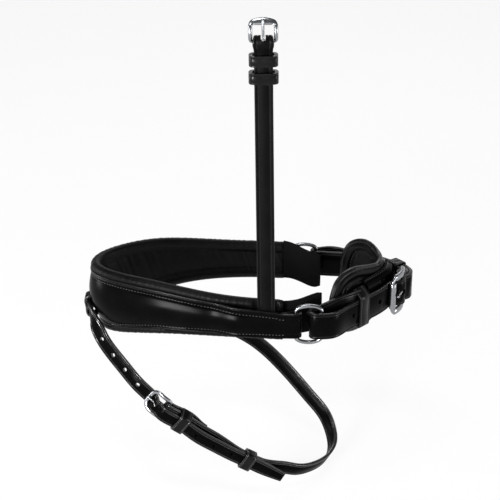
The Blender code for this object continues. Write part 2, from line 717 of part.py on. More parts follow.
def cheek_frame(height):
    """Along the cheek strap at a height: up, leaning forward a little; its face looks to the near side."""
    lean = Vector((-math.sin(CHEEK_LEAN), 0, math.cos(CHEEK_LEAN)))
    layer = -RING_Y - RING_WIRE + CHEEK_THICK / 2
    base = Vector((CHEEK_X, layer, CHEEK_FOLD_Z))
    across = Vector((math.cos(CHEEK_LEAN), 0, math.sin(CHEEK_LEAN)))
    return Frame(base + lean * ((height - CHEEK_FOLD_Z) / lean.z), lean, across, Vector((0, -1, 0)))


def flat_solid(name, frame, outline, width, finish_material, origin=None):
    """A side outline of (along, out) points, extruded across the strap."""
    rings = [[at(frame, u, v, w) for w, u in outline] for v in (-width / 2, width / 2)]
    return loft(name, rings, finish_material, origin=origin)


def cheek_strap():
    """The strap above the band, folded round the buckle's hinge bar, and its end sewn in the band."""
    fold = cheek_frame(CHEEK_FOLD_Z)
    bar = cheek_frame(CHEEK_BAR_Z)
    half = CHEEK_THICK / 2
    size = CHEEK_BUCKLE
    turn = size["bar"] + GAP + half
    bar_out = half + GAP / 2 + half
    rise = (bar.origin - fold.origin).length
    skive_from = rise - CHEEK_RETURN + 1.5 * mm
    return_end = rise - CHEEK_RETURN
    outline = [(-half * math.cos(a), -half * math.sin(a)) for a in np.linspace(-math.pi / 2, math.pi / 2, 7)]
    back = -half + CHEEK_SKIVE
    outline += [(skive_from, -half), (skive_from + 1.0 * mm, back)]
    centre_u = bar_out
    outer_turn = turn + half
    outline += [(rise - 6 * mm, back)]
    for a in np.linspace(-80, 90, 9):
        angle = math.radians(a)
        outline.append((rise + outer_turn * math.cos(angle), centre_u + outer_turn * math.sin(angle)))
    front = bar_out + half + GAP / 2
    outline += [(rise - 9 * mm, front + 0.4 * mm), (rise - 14 * mm, front),
                (return_end + 1.0 * mm, front), (return_end, front - 0.8 * mm),
                (return_end, half + GAP), (rise - 10 * mm, half + GAP)]
    inner_turn = turn - half
    for a in np.linspace(150, -90, 9):
        angle = math.radians(a)
        outline.append((rise + inner_turn * math.cos(angle), centre_u + inner_turn * math.sin(angle)))
    outline += [(rise - 10 * mm, half), (1 * mm, half)]
    strap = flat_solid("cheek_strap", fold, outline, CHEEK_WIDTH, leather("cheek_strap"), fold.origin)
    hinge = moved(bar, u=centre_u)
    slot = size["tongue"] + SLOT_PLAY
    notch(strap, hinge, (-outer_turn * 0.9, outer_turn * 1.5), (-slot, slot), (-5.2 * mm, outer_turn * 1.5))
    root_top = fold._replace(origin=at(fold, w=-half - GAP))
    rings = [[at(root_top, u, v, w) for u, v in strap_outline(CHEEK_THICK, CHEEK_WIDTH)]
             for w in (0, -CHEEK_SEWN_DEPTH)]
    loft("cheek_strap_root", rings, leather("cheek_strap_root"))
    return hinge


def cheek_keepers(hinge):
    half = CHEEK_THICK / 2
    front = half + GAP + CHEEK_THICK + CHEEK_KEEPER_ROOM
    side = CHEEK_WIDTH / 2 + CHEEK_KEEPER_SIDE
    back = -half + CHEEK_SKIVE - GAP
    corners = ((back, -side), (front, -side), (front, side), (back, side))
    keeper("cheek_fixed_keeper", cheek_frame(CHEEK_KEEPER_Z), corners, KEEPER_WALL, KEEPER_LENGTH,
           leather("cheek_fixed_keeper"))
    slider = cheek_frame(CHEEK_SLIDER_Z)
    corners = ((back - CHEEK_SKIVE, -side - 0.3 * mm), (front, -side - 0.3 * mm),
               (front, side + 0.3 * mm), (back - CHEEK_SKIVE, side + 0.3 * mm))
    keeper("cheek_sliding_keeper", slider, corners, KEEPER_WALL, KEEPER_LENGTH,
           leather("cheek_sliding_keeper"), slider.origin)
    buckle_frame("cheek_buckle_frame", hinge, CHEEK_BUCKLE, steel("cheek_buckle_frame"))
    buckle_tongue("cheek_buckle_tongue", hinge, CHEEK_BUCKLE, CHEEK_BUCKLE["outer"],
                  steel("cheek_buckle_tongue"))


# Jaw pad and crank strap

def pad_reach(route, length, column):
    """The pad's top or bottom height at a length along it."""
    from_end = min(length, route.total - length)
    knots = [row[0] * mm for row in PAD_HEIGHTS]
    values = [row[column] * mm for row in PAD_HEIGHTS]
    value = float(smooth_table(knots, values, [from_end])[0])
    return value + PAD_TILT * (2 * length / route.total - 1)


def inset_reach(route, length, column, rim):
    """The pad's top or bottom height with the rim taken off square to the edge all round."""
    turn = 1 if column == 1 else -1
    best = None
    for share in np.linspace(-1, 1, 9):
        place = min(max(length + rim * share, 0.0), route.total)
        height = turn * pad_reach(route, place, column) - rim * math.sqrt(1 - share * share)
        best = height if best is None else min(best, height)
    return turn * best


def jaw_pad(route):
    """Backing, foam and facing, one behind the other, with a piped rim."""
    half = PAD_FOAM / 2
    layers = (("jaw_pad_backing", half + GAP, half + GAP + PAD_BACKING, 0.6 * mm, leather),
              ("jaw_pad_foam", -half, half, PIPING_RADIUS + 4 * GAP, foam),
              ("jaw_pad_lining", -half - GAP - PAD_FACING, -half - GAP, 0.6 * mm, soft_leather))
    inset_end = 0.9 * mm
    for name, low_u, high_u, rim, kind in layers:
        rings = []
        end = rim + inset_end
        for length in route.stations(end, route.total - end, longest=6 * mm):
            low = inset_reach(route, length, 2, rim)
            high = inset_reach(route, length, 1, rim)
            frame = route.frame(length)
            rings.append([at(frame, u, v) for u, v in
                          ((low_u, low), (high_u, low), (high_u, low * 0.5 + high * 0.5), (high_u, high),
                           (low_u, high), (low_u, low * 0.5 + high * 0.5))])
        loft(name, rings, kind(name))
    edge = []
    places = [0.8 * mm, 2.4 * mm, 5 * mm, 9 * mm, 14 * mm, 20 * mm, 27 * mm, 35 * mm, 44 * mm, 52 * mm, 59 * mm]
    places += [route.total / 2] + [route.total - place for place in reversed(places)]
    for length in places:
        edge.append(at(route.frame(length), 0, pad_reach(route, length, 1)))
    for length in reversed(places):
        edge.append(at(route.frame(length), 0, pad_reach(route, length, 2)))
    rings = []
    for i, point in enumerate(edge):
        along = (edge[(i + 1) % len(edge)] - edge[i - 1]).normalized()
        out = route.frame(route.nearest((point.x, point.y, 0))).out
        out = (out - along * out.dot(along)).normalized()
        local = Frame(point, along, along.cross(out), out)
        rings.append([at(local, u, v) for u, v in round_outline(PIPING_RADIUS, 8)])
    loft("jaw_pad_piping", rings, leather("jaw_pad_piping"), closed=True)


def rise(pad, length):
    """How far the strap's inner run sits above the rings' level at a length along the pad."""
    share = (min(length, pad.total - length) - CRANK_RISE_FROM) / CRANK_RISE_RUN
    share = max(0.0, min(1.0, share))
    return CRANK_RISE * share * share * (3 - 2 * share)


def turned(frame):
    """The same place, looking back along the strap, so that out and along point the other way."""
    return Frame(frame.origin, -frame.along, frame.across, -frame.out)


def through_buckle(buckle, size, outer_radius, strap_thick, low=0.0):
    """A billet's points as it passes under the outer bar and over the hinge bar with its chape."""
    buckle = moved(buckle, v=-low)
    under = outer_radius + GAP + strap_thick / 2
    over = size["bar"] + 3 * GAP + strap_thick * 1.5
    outer_bar = at(buckle, 0, 0, size["length"])
    points = [at(buckle, -under, 0, size["length"])]
    points += arc(outer_bar, under * 1.01, 248, 230, 2, buckle.along, buckle.out)
    points += arc(buckle.origin, over * 1.02, 42, 68, 2, buckle.along, buckle.out)
    return points + [at(buckle, over)]


def crank_hinge():
    """The crank buckle's own frame: origin on its hinge bar, along towards the roller."""
    toward_hinge = Vector((math.cos(HINGE_TURN), math.sin(HINGE_TURN), 0))
    roller = Vector((ROLLER_AT[0] * mm, ROLLER_AT[1] * mm, 0))
    hinge = roller + toward_hinge * CRANK_BUCKLE["length"]
    along = -toward_hinge
    return Frame(hinge, along, UP, UP.cross(along))


def crank_route(pad, buckle):
    layer = STRAP_THICK + GAP
    turn = CRANK_BUCKLE["bar"] + GAP + STRAP_THICK / 2
    ring_turn = RING_WIRE + GAP + STRAP_THICK / 2
    far_bar = Vector((RING_X + RING_WIDTH, RING_Y, 0))
    near_bar = Vector((RING_X + RING_WIDTH, -RING_Y, 0))
    east, north = Vector((1, 0, 0)), Vector((0, 1, 0))
    outer = [at(buckle, turn)] + [Vector(point) * mm for point in CRANK_OUTER]
    outer.append(far_bar + north * ring_turn)
    fold = arc(buckle.origin, turn, 180, 360, 7, buckle.out, -buckle.along)
    outside = Route(fold + outer[1:])
    start = outside.nearest(outer[0])
    chape = [at(outside.frame(start + CRANK_CHAPE * share), layer + extra * mm)
             for share, extra in ((1.0, 0.0), (0.7, 0.15), (0.42, 0.7))]
    points = chape + fold + outer[1:-1]
    points += arc(far_bar, ring_turn, 85, 275, 8, east, north)
    tight = PAD_FOAM / 2 + GAP + PAD_BACKING + BEND_EASE + STRAP_THICK / 2
    loose = tight + CRANK_KEEPER_WALL + 2 * GAP
    points.append(far_bar + Vector((10.5 * mm, -ring_turn - 1.2 * mm, 0)))
    tight_from = SLEEVE_START - 3 * mm
    places = [10 * mm, CRANK_KEEPER_AT, CRANK_KEEPER_AT + 8 * mm]
    far_places = [pad.total - place for place in reversed(places)]
    places += [float(place) for place in np.linspace(tight_from, pad.total - tight_from, 7)] + far_places
    for place in places:
        stand = tight if tight_from - GAP < place < pad.total - tight_from + GAP else loose
        points.append(at(pad.frame(place), stand, rise(pad, place)))
    points += arc(near_bar, ring_turn, 85, 275, 8, east, north)
    points += [Vector((x * mm, y * mm, 0)) for x, y in CRANK_NEAR_BULGE]
    for place, extra in ((CRANK_KEEPER_AT, 0.0), (CRANK_KEEPER_AT + 8 * mm, 0.5 * mm)):
        points.append(at(pad.frame(pad.total - place), loose + layer + extra))
    points.append(Vector((CRANK_BEFORE_ROLLER[0] * mm, CRANK_BEFORE_ROLLER[1] * mm, 0)))
    points += through_buckle(buckle, CRANK_BUCKLE, ROLLER_RADIUS, STRAP_THICK)
    points += [at(outside.frame(start + CRANK_TIP * share), -layer - GAP / 2)
               for share in (0.14, 0.35, 0.6, 0.8, 1.0)]
    return Route(points), outside.frame(start + CRANK_REAR_KEEPER_AT)


def crank_strap(pad, buckle):
    route, rear = crank_route(pad, buckle)
    frames, outlines = [], []
    places = route.stations(0, route.total - CRANK_ROUNDING, longest=11 * mm)
    places += [route.total - CRANK_ROUNDING * share for share in (0.7, 0.45, 0.22, 0.08, 0.0)]
    for length in places:
        left = (route.total - length) / CRANK_ROUNDING
        narrow = math.sqrt(1 - (1 - left) ** 2) if left < 1 else 1.0
        frames.append(route.frame(length))
        outlines.append(strap_outline(STRAP_THICK, CRANK_WIDTH * (0.35 + 0.65 * narrow)))
    strap = loft("crank_strap", placed(frames, outlines), leather("crank_strap"))
    size = CRANK_BUCKLE
    slot = size["tongue"] + SLOT_PLAY
    reach = size["bar"] + GAP + STRAP_THICK
    notch(strap, buckle, (-reach - GAP, reach + GAP / 2), (-slot, slot), (-6.5 * mm, reach + 1 * mm))
    low, high = tongue_path(buckle, size, ROLLER_RADIUS)
    drill(strap, low.lerp(high, 0.16), low.lerp(high, 0.88), size["tongue"] + 0.6 * mm)
    hole_at = route.nearest(at(buckle, 2.6 * mm, 0, size["length"] * 0.42))
    for step in CRANK_HOLES:
        here = turned(route.frame(hole_at + step * CRANK_HOLE_PITCH))
        drill(strap, at(here, STRAP_THICK), at(here, -STRAP_THICK / 2 - GAP / 2), CRANK_HOLE)
    near = turned(route.frame(route.nearest(at(pad.frame(pad.total - CRANK_KEEPER_AT),
                                                PAD_FOAM / 2 + PAD_BACKING + 4 * GAP + STRAP_THICK * 1.5
                                                + CRANK_KEEPER_WALL + GAP))))
    side = CRANK_WIDTH / 2 + 2 * GAP
    outer_u, inner_u = STRAP_THICK / 2 + GAP, -STRAP_THICK * 1.5 - 2.2 * GAP
    keeper("crank_keeper", near, ((inner_u, -side), (outer_u, -side - 0.4 * mm), (outer_u, side + 0.6 * mm),
                                  (inner_u, side + 2.6 * mm)),
           CRANK_KEEPER_WALL, CRANK_KEEPER_LENGTH, leather("crank_keeper"))
    rear = turned(rear)
    reach = STRAP_THICK * 1.5 + GAP * 3
    keeper("crank_rear_keeper", rear, ((-reach - GAP, -side), (reach, -side), (reach, side),
                                       (-reach - GAP, side)),
           CRANK_KEEPER_WALL, CRANK_KEEPER_LENGTH, leather("crank_rear_keeper"))


def crank_buckle(buckle):
    buckle_frame("crank_buckle_frame", buckle, CRANK_BUCKLE, steel("crank_buckle_frame"))
    buckle_tongue("crank_buckle_tongue", buckle, CRANK_BUCKLE, ROLLER_RADIUS, steel("crank_buckle_tongue"))
    centre = at(buckle, 0, 0, CRANK_BUCKLE["length"])
    bore = CRANK_BUCKLE["outer"] + ROLLER_PLAY
    rings = []
    half = ROLLER_LENGTH / 2
    for radius, v in ((bore, -half), (ROLLER_RADIUS - 0.3 * mm, -half), (ROLLER_RADIUS, -half + 0.4 * mm),
                      (ROLLER_RADIUS, half - 0.4 * mm), (ROLLER_RADIUS - 0.3 * mm, half), (bore, half)):
        rings.append([centre + buckle.across * v + buckle.out * a + buckle.along * b
                      for a, b in round_outline(radius, 20)])
    loft("crank_buckle_roller", rings, steel("crank_buckle_roller"), closed=True, origin=centre)


def jaw_sleeve(pad):
    """A patch stitched over the strap in the middle of the pad."""
    base = PAD_FOAM / 2 + GAP + PAD_BACKING + GAP
    face = base + STRAP_THICK + 2 * BEND_EASE
    side = CRANK_WIDTH / 2 + SLEEVE_PLAY
    low, high = CRANK_RISE - side, CRANK_RISE + side
    outline = ((base, low - SLEEVE_LEG), (face + SLEEVE_WALL - 0.6 * mm, low - SLEEVE_LEG),
               (face + SLEEVE_WALL, low - SLEEVE_LEG + 1.2 * mm),
               (face + SLEEVE_WALL, high + SLEEVE_LEG - 1.2 * mm),
               (face + SLEEVE_WALL - 0.6 * mm, high + SLEEVE_LEG), (base, high + SLEEVE_LEG), (base, high),
               (face, high), (face, low), (base, low))
    end = SLEEVE_START + 0.8 * mm
    places = pad.stations(end, pad.total - end, longest=6 * mm)
    frames = [pad.frame(length) for length in places]
    loft("jaw_pad_sleeve", placed(frames, [outline] * len(frames)), leather("jaw_pad_sleeve"))


# Flash strap

def flash_point(point):
    """A chosen point of the flash strap, which follows the band when its reach changes."""
    stretch = NOSE_REACH / FLASH_FITS_REACH
    return Vector((NOSE_CENTRE_X + (point[0] * mm - NOSE_CENTRE_X) * stretch, point[1] * mm, point[2] * mm))


def flash_hinge():
    """The flash buckle's own frame: origin on its hinge bar, along back towards the outer bar."""
    run = Vector(FLASH_RUN).normalized()
    outer_bar = flash_point(FLASH_OUTER_BAR)
    along = -run
    across = Vector(FLASH_ACROSS)
    across = (across - along * across.dot(along)).normalized()
    return Frame(outer_bar + run * FLASH_BUCKLE["length"], along, across, across.cross(along))


def flash_route(line, buckle, tab_stand):
    tab = line.frame(line.total / 2)
    tab_point = at(tab, tab_stand, (TAB_TOP + TAB_BOTTOM) / 2)
    tilt = Vector(FLASH_ACROSS).normalized()

    def across(point):
        share = max(0.0, min(1.0, ((point - tab_point).length - 8 * mm) / FLASH_TWIST_RUN))
        share = share * share * (3 - 2 * share)
        near = max(0.0, min(1.0, (-point.y - FLASH_LEVEL[0]) / (FLASH_LEVEL[1] - FLASH_LEVEL[0])))
        near = near * near * (3 - 2 * near)
        return tab.across.lerp(tilt.lerp(buckle.across, near), share).normalized()

    layer = FLASH_THICK + GAP
    turn = FLASH_BUCKLE["bar"] + GAP + FLASH_THICK / 2
    over_bar = turn + layer
    billet = through_buckle(buckle, FLASH_BUCKLE, FLASH_BUCKLE["outer"], FLASH_THICK, FLASH_BILLET_LOW)
    billet += [flash_point(point) for point in FLASH_BILLET]
    top = Route([flash_point(FLASH_NEAR[-1])] + billet, across)
    start = top.nearest(at(buckle, over_bar))
    return_gap = FLASH_KEEPER_WALL + 5 * GAP
    places, sags = [row[0] * mm for row in FLASH_SAG], [row[1] * mm for row in FLASH_SAG]
    aside = FLASH_CHAPE_HIGH + FLASH_BILLET_LOW
    highs = [aside * max(0.0, min(1.0, 2 - place / FLASH_CHAPE)) for place in places]
    beneath = [at(top.frame(start + place), layer + sag, high) for place, sag, high in zip(places, sags, highs)]
    chape = []
    for place in (FLASH_CHAPE, FLASH_CHAPE * 0.72, FLASH_CHAPE * 0.46):
        sag, high = float(np.interp(place, places, sags)), float(np.interp(place, places, highs))
        chape.append(at(top.frame(start + place), 2 * layer + return_gap + sag, high))
    points = chape + arc(at(buckle, v=FLASH_CHAPE_HIGH), turn, 180, 360, 7, buckle.out, -buckle.along)
    points += beneath + [flash_point(point) for point in FLASH_FAR]
    side = TAB_WIDTH / 2
    for share, drop in ((1.9, 3.0), (0.95, 0.3), (0.0, 0.0), (-0.95, 0.3), (-1.9, 3.5)):
        here = line.frame(line.total / 2 + side * share)
        points.append(at(here, tab_stand + drop * 0.15 * mm, (TAB_TOP + TAB_BOTTOM) / 2 - drop * mm))
    points += [flash_point(point) for point in FLASH_NEAR]
    points += billet
    return Route(points, across), top


def flash_strap(line, buckle, tab_stand):
    route, top = flash_route(line, buckle, tab_stand)
    tip = route.total
    frames, outlines = [], []
    places = route.stations(0, tip - 1 * mm, longest=13 * mm)
    for length in places + [tip]:
        share = max(0.0, 1 - (tip - length) / FLASH_TAPER)
        width = FLASH_WIDTH + (FLASH_TIP_WIDTH - FLASH_WIDTH) * share ** 1.5
        frames.append(route.frame(length))
        outlines.append(strap_outline(FLASH_THICK, width))
    strap = loft("flash_strap", placed(frames, outlines), leather("flash_strap"))
    size = FLASH_BUCKLE
    slot = size["tongue"] + SLOT_PLAY
    reach = size["bar"] + GAP + FLASH_THICK
    notch(strap, buckle, (-reach - GAP, reach + GAP / 2), (-slot, slot), (-5 * mm, reach + 1 * mm))
    low, high = tongue_path(buckle, size, size["outer"])
    drill(strap, low.lerp(high, 0.2), low.lerp(high, 0.85), size["tongue"] + 0.6 * mm)
    tab_length = route.nearest(at(line.frame(line.total / 2), tab_stand, (TAB_TOP + TAB_BOTTOM) / 2))
    bar_length = route.nearest(at(buckle, size["bar"] + 2 * GAP + FLASH_THICK * 1.5))
    for distance in FLASH_HOLES_NEAR:
        here = turned(route.frame(tab_length + distance * mm))
        drill(strap, at(here, FLASH_THICK), at(here, -FLASH_THICK), FLASH_HOLE)
    for distance in FLASH_HOLES_FAR:
        here = turned(route.frame(bar_length + distance * mm))
        drill(strap, at(here, FLASH_THICK), at(here, -FLASH_THICK / 2 - GAP / 2), FLASH_HOLE)
    side = FLASH_WIDTH / 2 + 1.5 * GAP
    outer_u = FLASH_THICK / 2 + 2 * GAP
    fixed = turned(route.frame(bar_length + FLASH_KEEPER_AT))
    inner_u = -FLASH_THICK * 1.5 - 2 * GAP - 1.2 * mm
    lean = FLASH_CHAPE_HIGH + FLASH_BILLET_LOW
    keeper("flash_fixed_keeper", fixed, ((inner_u, -side), (outer_u, -side), (outer_u, side),
                                         (inner_u, side + lean * 1.7)),
           FLASH_KEEPER_WALL, FLASH_KEEPER_LENGTH, leather("flash_fixed_keeper"))
    slider = turned(route.frame(bar_length + FLASH_SLIDER_AT))
    side, outer_u = side + FLASH_SLIDER_PLAY, outer_u + FLASH_SLIDER_PLAY
    inner_u = -FLASH_THICK * 1.5 - 4 * GAP - FLASH_SLIDER_PLAY
    keeper("flash_sliding_keeper", slider, ((inner_u, -side), (outer_u, -side), (outer_u, side), (inner_u, side)),
           FLASH_KEEPER_WALL, FLASH_KEEPER_LENGTH, leather("flash_sliding_keeper"), slider.origin)
    buckle_frame("flash_buckle_frame", buckle, size, steel("flash_buckle_frame"))
    buckle_tongue("flash_buckle_tongue", buckle, size, size["outer"], steel("flash_buckle_tongue"))


def hang(names, point):
    """Put the origins of pieces that turn together on their joint's axis."""
    for name in names:
        piece = bpy.data.objects[name]
        piece.data.transform(Matrix.Translation(-Vector(point)))
        piece.location = point


def build():
    for old in list(bpy.data.objects):
        bpy.data.objects.remove(old, do_unlink=True)
    line = nose_line()
    band = nose_strap_route(line)
    nose_strap(line, band)
    nose_filler(line, band)
    cover, core = nose_lining(line)
    for side, word in ((-1, "near"), (1, "far")):
        ring(word + "_ring", side)
        ring_guard(word + "_ring_guard", side)
    tab_stand = flash_tab(line)
    hinge = cheek_strap()
    cheek_keepers(hinge)
    sewn_in = cheek_frame(CHEEK_FOLD_Z)
    for soft in (cover, core):
        notch(soft, sewn_in, (-CHEEK_THICK / 2 - GAP, 8 * mm), (-CHEEK_WIDTH / 2 - GAP, CHEEK_WIDTH / 2 + GAP),
              (-CHEEK_SEWN_DEPTH - 2 * mm, 8 * mm))
    pad = Route([Vector((x * mm, y * mm, 0)) for x, y in JAW_LINE])
    jaw_pad(pad)
    jaw_sleeve(pad)
    buckle = crank_hinge()
    crank_strap(pad, buckle)
    crank_buckle(buckle)
    flash_strap(line, flash_hinge(), tab_stand)
    hang(("cheek_fixed_keeper",), sewn_in.origin)
    hang(("crank_strap", "crank_keeper", "crank_rear_keeper", "jaw_pad_backing", "jaw_pad_foam",
          "jaw_pad_lining", "jaw_pad_piping", "jaw_pad_sleeve"), (RING_X + RING_WIDTH, -RING_Y, 0))
    hang(("flash_strap", "flash_fixed_keeper"),
         at(line.frame(line.total / 2), tab_stand, (TAB_TOP + TAB_BOTTOM) / 2))


build()
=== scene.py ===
import math

import bpy
import numpy as np
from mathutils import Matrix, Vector


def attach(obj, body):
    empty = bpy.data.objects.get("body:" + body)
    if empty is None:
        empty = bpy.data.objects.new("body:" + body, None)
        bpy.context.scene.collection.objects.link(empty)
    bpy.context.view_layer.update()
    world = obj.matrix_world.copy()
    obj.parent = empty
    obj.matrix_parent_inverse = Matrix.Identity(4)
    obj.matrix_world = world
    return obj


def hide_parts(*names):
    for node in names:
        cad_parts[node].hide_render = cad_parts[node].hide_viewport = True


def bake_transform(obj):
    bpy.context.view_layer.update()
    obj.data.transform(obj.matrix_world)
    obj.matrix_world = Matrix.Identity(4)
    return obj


# A black flash noseband on white: padded nose band, jaw strap with its pad, cheek strap and flash strap.
# X runs from the horse's nose back to its jaw, Y from the near side to the far side, Z up, in metres.

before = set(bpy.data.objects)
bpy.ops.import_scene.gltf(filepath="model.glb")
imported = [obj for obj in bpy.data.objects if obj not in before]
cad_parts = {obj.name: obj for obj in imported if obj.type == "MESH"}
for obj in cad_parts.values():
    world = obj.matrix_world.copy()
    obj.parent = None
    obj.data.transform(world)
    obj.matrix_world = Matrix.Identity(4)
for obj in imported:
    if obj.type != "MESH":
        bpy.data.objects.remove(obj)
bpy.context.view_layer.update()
mm = 0.001
gap = 0.3 * mm              # between parts that lie on each other


def inMetres(**sizes):
    # a piece's sizes, written in mm
    return {name: np.multiply(size, mm) for name, size in sizes.items()}


bridle = inMetres(strap=3.0, cheek=2.8, flash=2.8, cut=8)       # leather thicknesses, and a cutter's height


# Lines that the straps follow

def unit(vectors):
    vectors = np.asarray(vectors, float)
    return vectors / np.linalg.norm(vectors, axis=-1, keepdims=True)


def smoothTable(knots, values, wanted):
    # natural cubic spline through the values, read at the wanted places
    count, step = len(knots), np.diff(knots)
    matrix, right = np.eye(count), np.zeros_like(values)
    for i in range(1, count - 1):
        matrix[i, i - 1:i + 2] = step[i - 1], 2 * (step[i - 1] + step[i]), step[i]
        right[i] = 6 * ((values[i + 1] - values[i]) / step[i] - (values[i] - values[i - 1]) / step[i - 1])
    bend = np.linalg.solve(matrix, right)
    wanted = np.clip(np.asarray(wanted, float), knots[0], knots[-1])
    left = np.clip(np.searchsorted(knots, wanted) - 1, 0, count - 2)
    width = step[left]
    a, b = (knots[left + 1] - wanted) / width, (wanted - knots[left]) / width
    if values.ndim > 1:
        a, b, width = a[:, None], b[:, None], width[:, None]
    return (a * values[left] + b * values[left + 1]
            + ((a ** 3 - a) * bend[left] + (b ** 3 - b) * bend[left + 1]) * width ** 2 / 6)


def measured(steps):
    return np.concatenate([[0], np.cumsum(np.linalg.norm(np.diff(steps, axis=0), axis=1))])


def facing(direction):
    return lambda places: np.tile(direction, (len(places), 1))


def makePath(spots, acrossAt=facing((0, 0, 1.0)), closed=False):
    # a smooth line with, at every quarter millimetre, its direction, the strap's width and its face
    spots = np.array(list(spots), float)
    wrap = min(4, len(spots)) if closed else 0
    if closed:
        spots = np.vstack([spots[-wrap:], spots, spots[:wrap + 1]])
    chords = measured(spots)
    first, last = (chords[wrap], chords[-wrap - 1]) if closed else (0, chords[-1])
    fine = np.linspace(first, last, max(16, int((last - first) / (0.25 * mm))))
    samples = smoothTable(chords, spots, fine)
    along = unit(np.gradient(samples, axis=0))
    if closed:
        along[0] = along[-1] = unit(samples[1] - samples[-2])
    across = acrossAt(samples)
    across = unit(across - along * np.sum(across * along, axis=1)[:, None])
    lengths = measured(samples)
    return {"points": samples, "lengths": lengths, "along": along, "across": across,
            "out": np.cross(across, along), "total": float(lengths[-1]), "closed": closed}


def readPath(path, what, length):
    return np.stack([np.interp(length, path["lengths"], column) for column in path[what].T], -1)


def onPath(path, length, across=0.0, out=0.0):
    # points at lengths along a path, so far across it and out from it
    length, across, out = np.broadcast_arrays(np.asarray(length, float), across, out)
    return (readPath(path, "points", length) + unit(readPath(path, "across", length)) * across[..., None]
            + unit(readPath(path, "out", length)) * out[..., None])


def nearest(path, point):
    return float(path["lengths"][np.argmin(np.linalg.norm(path["points"] - np.array(point), axis=1))])


def frameOf(path, length, turn=1):
    # the place, and the directions along, across and out of the strap; turn -1 looks back along it
    directions = {name: unit(readPath(path, name, length)) * sign
                  for name, sign in (("along", turn), ("across", 1), ("out", turn))}
    return {"at": readPath(path, "points", length), **directions}


def at(place, out=0.0, across=0.0, along=0.0):
    out, across, along = (np.asarray(x, float)[..., None] for x in np.broadcast_arrays(out, across, along))
    return place["at"] + place["out"] * out + place["across"] * across + place["along"] * along


def moved(place, out=0.0, across=0.0, along=0.0):
    return {**place, "at": at(place, out, across, along)}


def arc(centre, radius, start, end, count, first, second):
    angles = np.radians(np.linspace(start, end, count))[:, None]
    return list(np.array(centre) + radius * (np.cos(angles) * first + np.sin(angles) * second))


def ease(share):
    share = np.clip(share, 0.0, 1.0)
    return share * share * (3 - 2 * share)


def hump(places, middle, run):
    return np.exp(-((places - middle) / run) ** 2)


def ripple(place, sizes, seed):
    # a few waves of unlike lengths and heights, for wrinkles that don't repeat
    return sum(height * np.sin(place * 2 * math.pi / length + seed * 2.3 + i * 1.7
                               + 1.3 * np.sin(place * 2 * math.pi / (length * 3.7) + seed + i))
               for i, (length, height) in enumerate(sizes))


# Modelling steps

def deselect():
    if bpy.context.object and bpy.context.mode != "OBJECT":
        bpy.ops.object.mode_set(mode="OBJECT")
    bpy.ops.object.select_all(action="DESELECT")


def activate(*pieces):
    deselect()
    for piece in pieces:
        piece.select_set(True)
    bpy.context.view_layer.objects.active = pieces[0]


def primitive(step, name, **settings):
    deselect()
    step(**settings)
    piece = bpy.context.object
    piece.name = piece.data.name = name
    bpy.ops.object.transform_apply(location=True, rotation=True, scale=True)
    return piece


def points(piece):
    found = np.empty(len(piece.data.vertices) * 3)
    piece.data.vertices.foreach_get("co", found)
    return found.reshape(-1, 3)


def setPoints(piece, places):
    piece.data.vertices.foreach_set("co", np.asarray(places, float).ravel())
    piece.data.update()


def edit(piece, kind, test, step, **settings):
    # one step in edit mode, on vertices picked by place, edges by both ends or faces by middle
    activate(piece)
    bpy.ops.object.mode_set(mode="EDIT")
    bpy.ops.mesh.select_mode(type=kind)
    bpy.ops.mesh.select_all(action="DESELECT")
    bpy.ops.object.mode_set(mode="OBJECT")
    mesh, place = piece.data, points(piece)
    if kind == "VERT":
        mesh.vertices.foreach_set("select", test(place))
    elif kind == "EDGE":
        ends = np.empty(len(mesh.edges) * 2, int)
        mesh.edges.foreach_get("vertices", ends)
        mesh.edges.foreach_set("select", test(place[ends[::2]], place[ends[1::2]]))
    else:
        mesh.polygons.foreach_set("select", test(np.array([face.center for face in mesh.polygons])))
    bpy.ops.object.mode_set(mode="EDIT")
    step(**settings)
    bpy.ops.object.mode_set(mode="OBJECT")


def smooth(piece, finish, angle, trim=None):
    activate(piece)
    bpy.ops.object.mode_set(mode="EDIT")
    bpy.ops.mesh.select_all(action="SELECT")
    bpy.ops.mesh.normals_make_consistent(inside=False)
    bpy.ops.object.mode_set(mode="OBJECT")
    bpy.ops.object.shade_smooth_by_angle(angle=math.radians(angle))
    for made in (finish, trim) if trim else (finish,):
        piece.data.materials.append(made)
    return piece


def longEdges(a, b):
    return np.abs(a[:, 0] - b[:, 0]) > 1e-6


def divideLength(piece, spacing):
    # cross cuts all along the strap, in two rounds because one round stops at 100
    length = float(np.ptp(points(piece)[:, 0]))
    first = max(1, int(math.sqrt(length / spacing)))
    for cuts in (first - 1, max(1, round(length / spacing / first)) - 1):
        if cuts > 0:
            edit(piece, "EDGE", longEdges, bpy.ops.mesh.subdivide, number_cuts=cuts)


def cutAcross(piece, where):
    activate(piece)
    bpy.ops.object.mode_set(mode="EDIT")
    for place in where:
        bpy.ops.mesh.select_all(action="SELECT")
        bpy.ops.mesh.bisect(plane_co=(0, place, 0), plane_no=(0, 1, 0))
    bpy.ops.object.mode_set(mode="OBJECT")


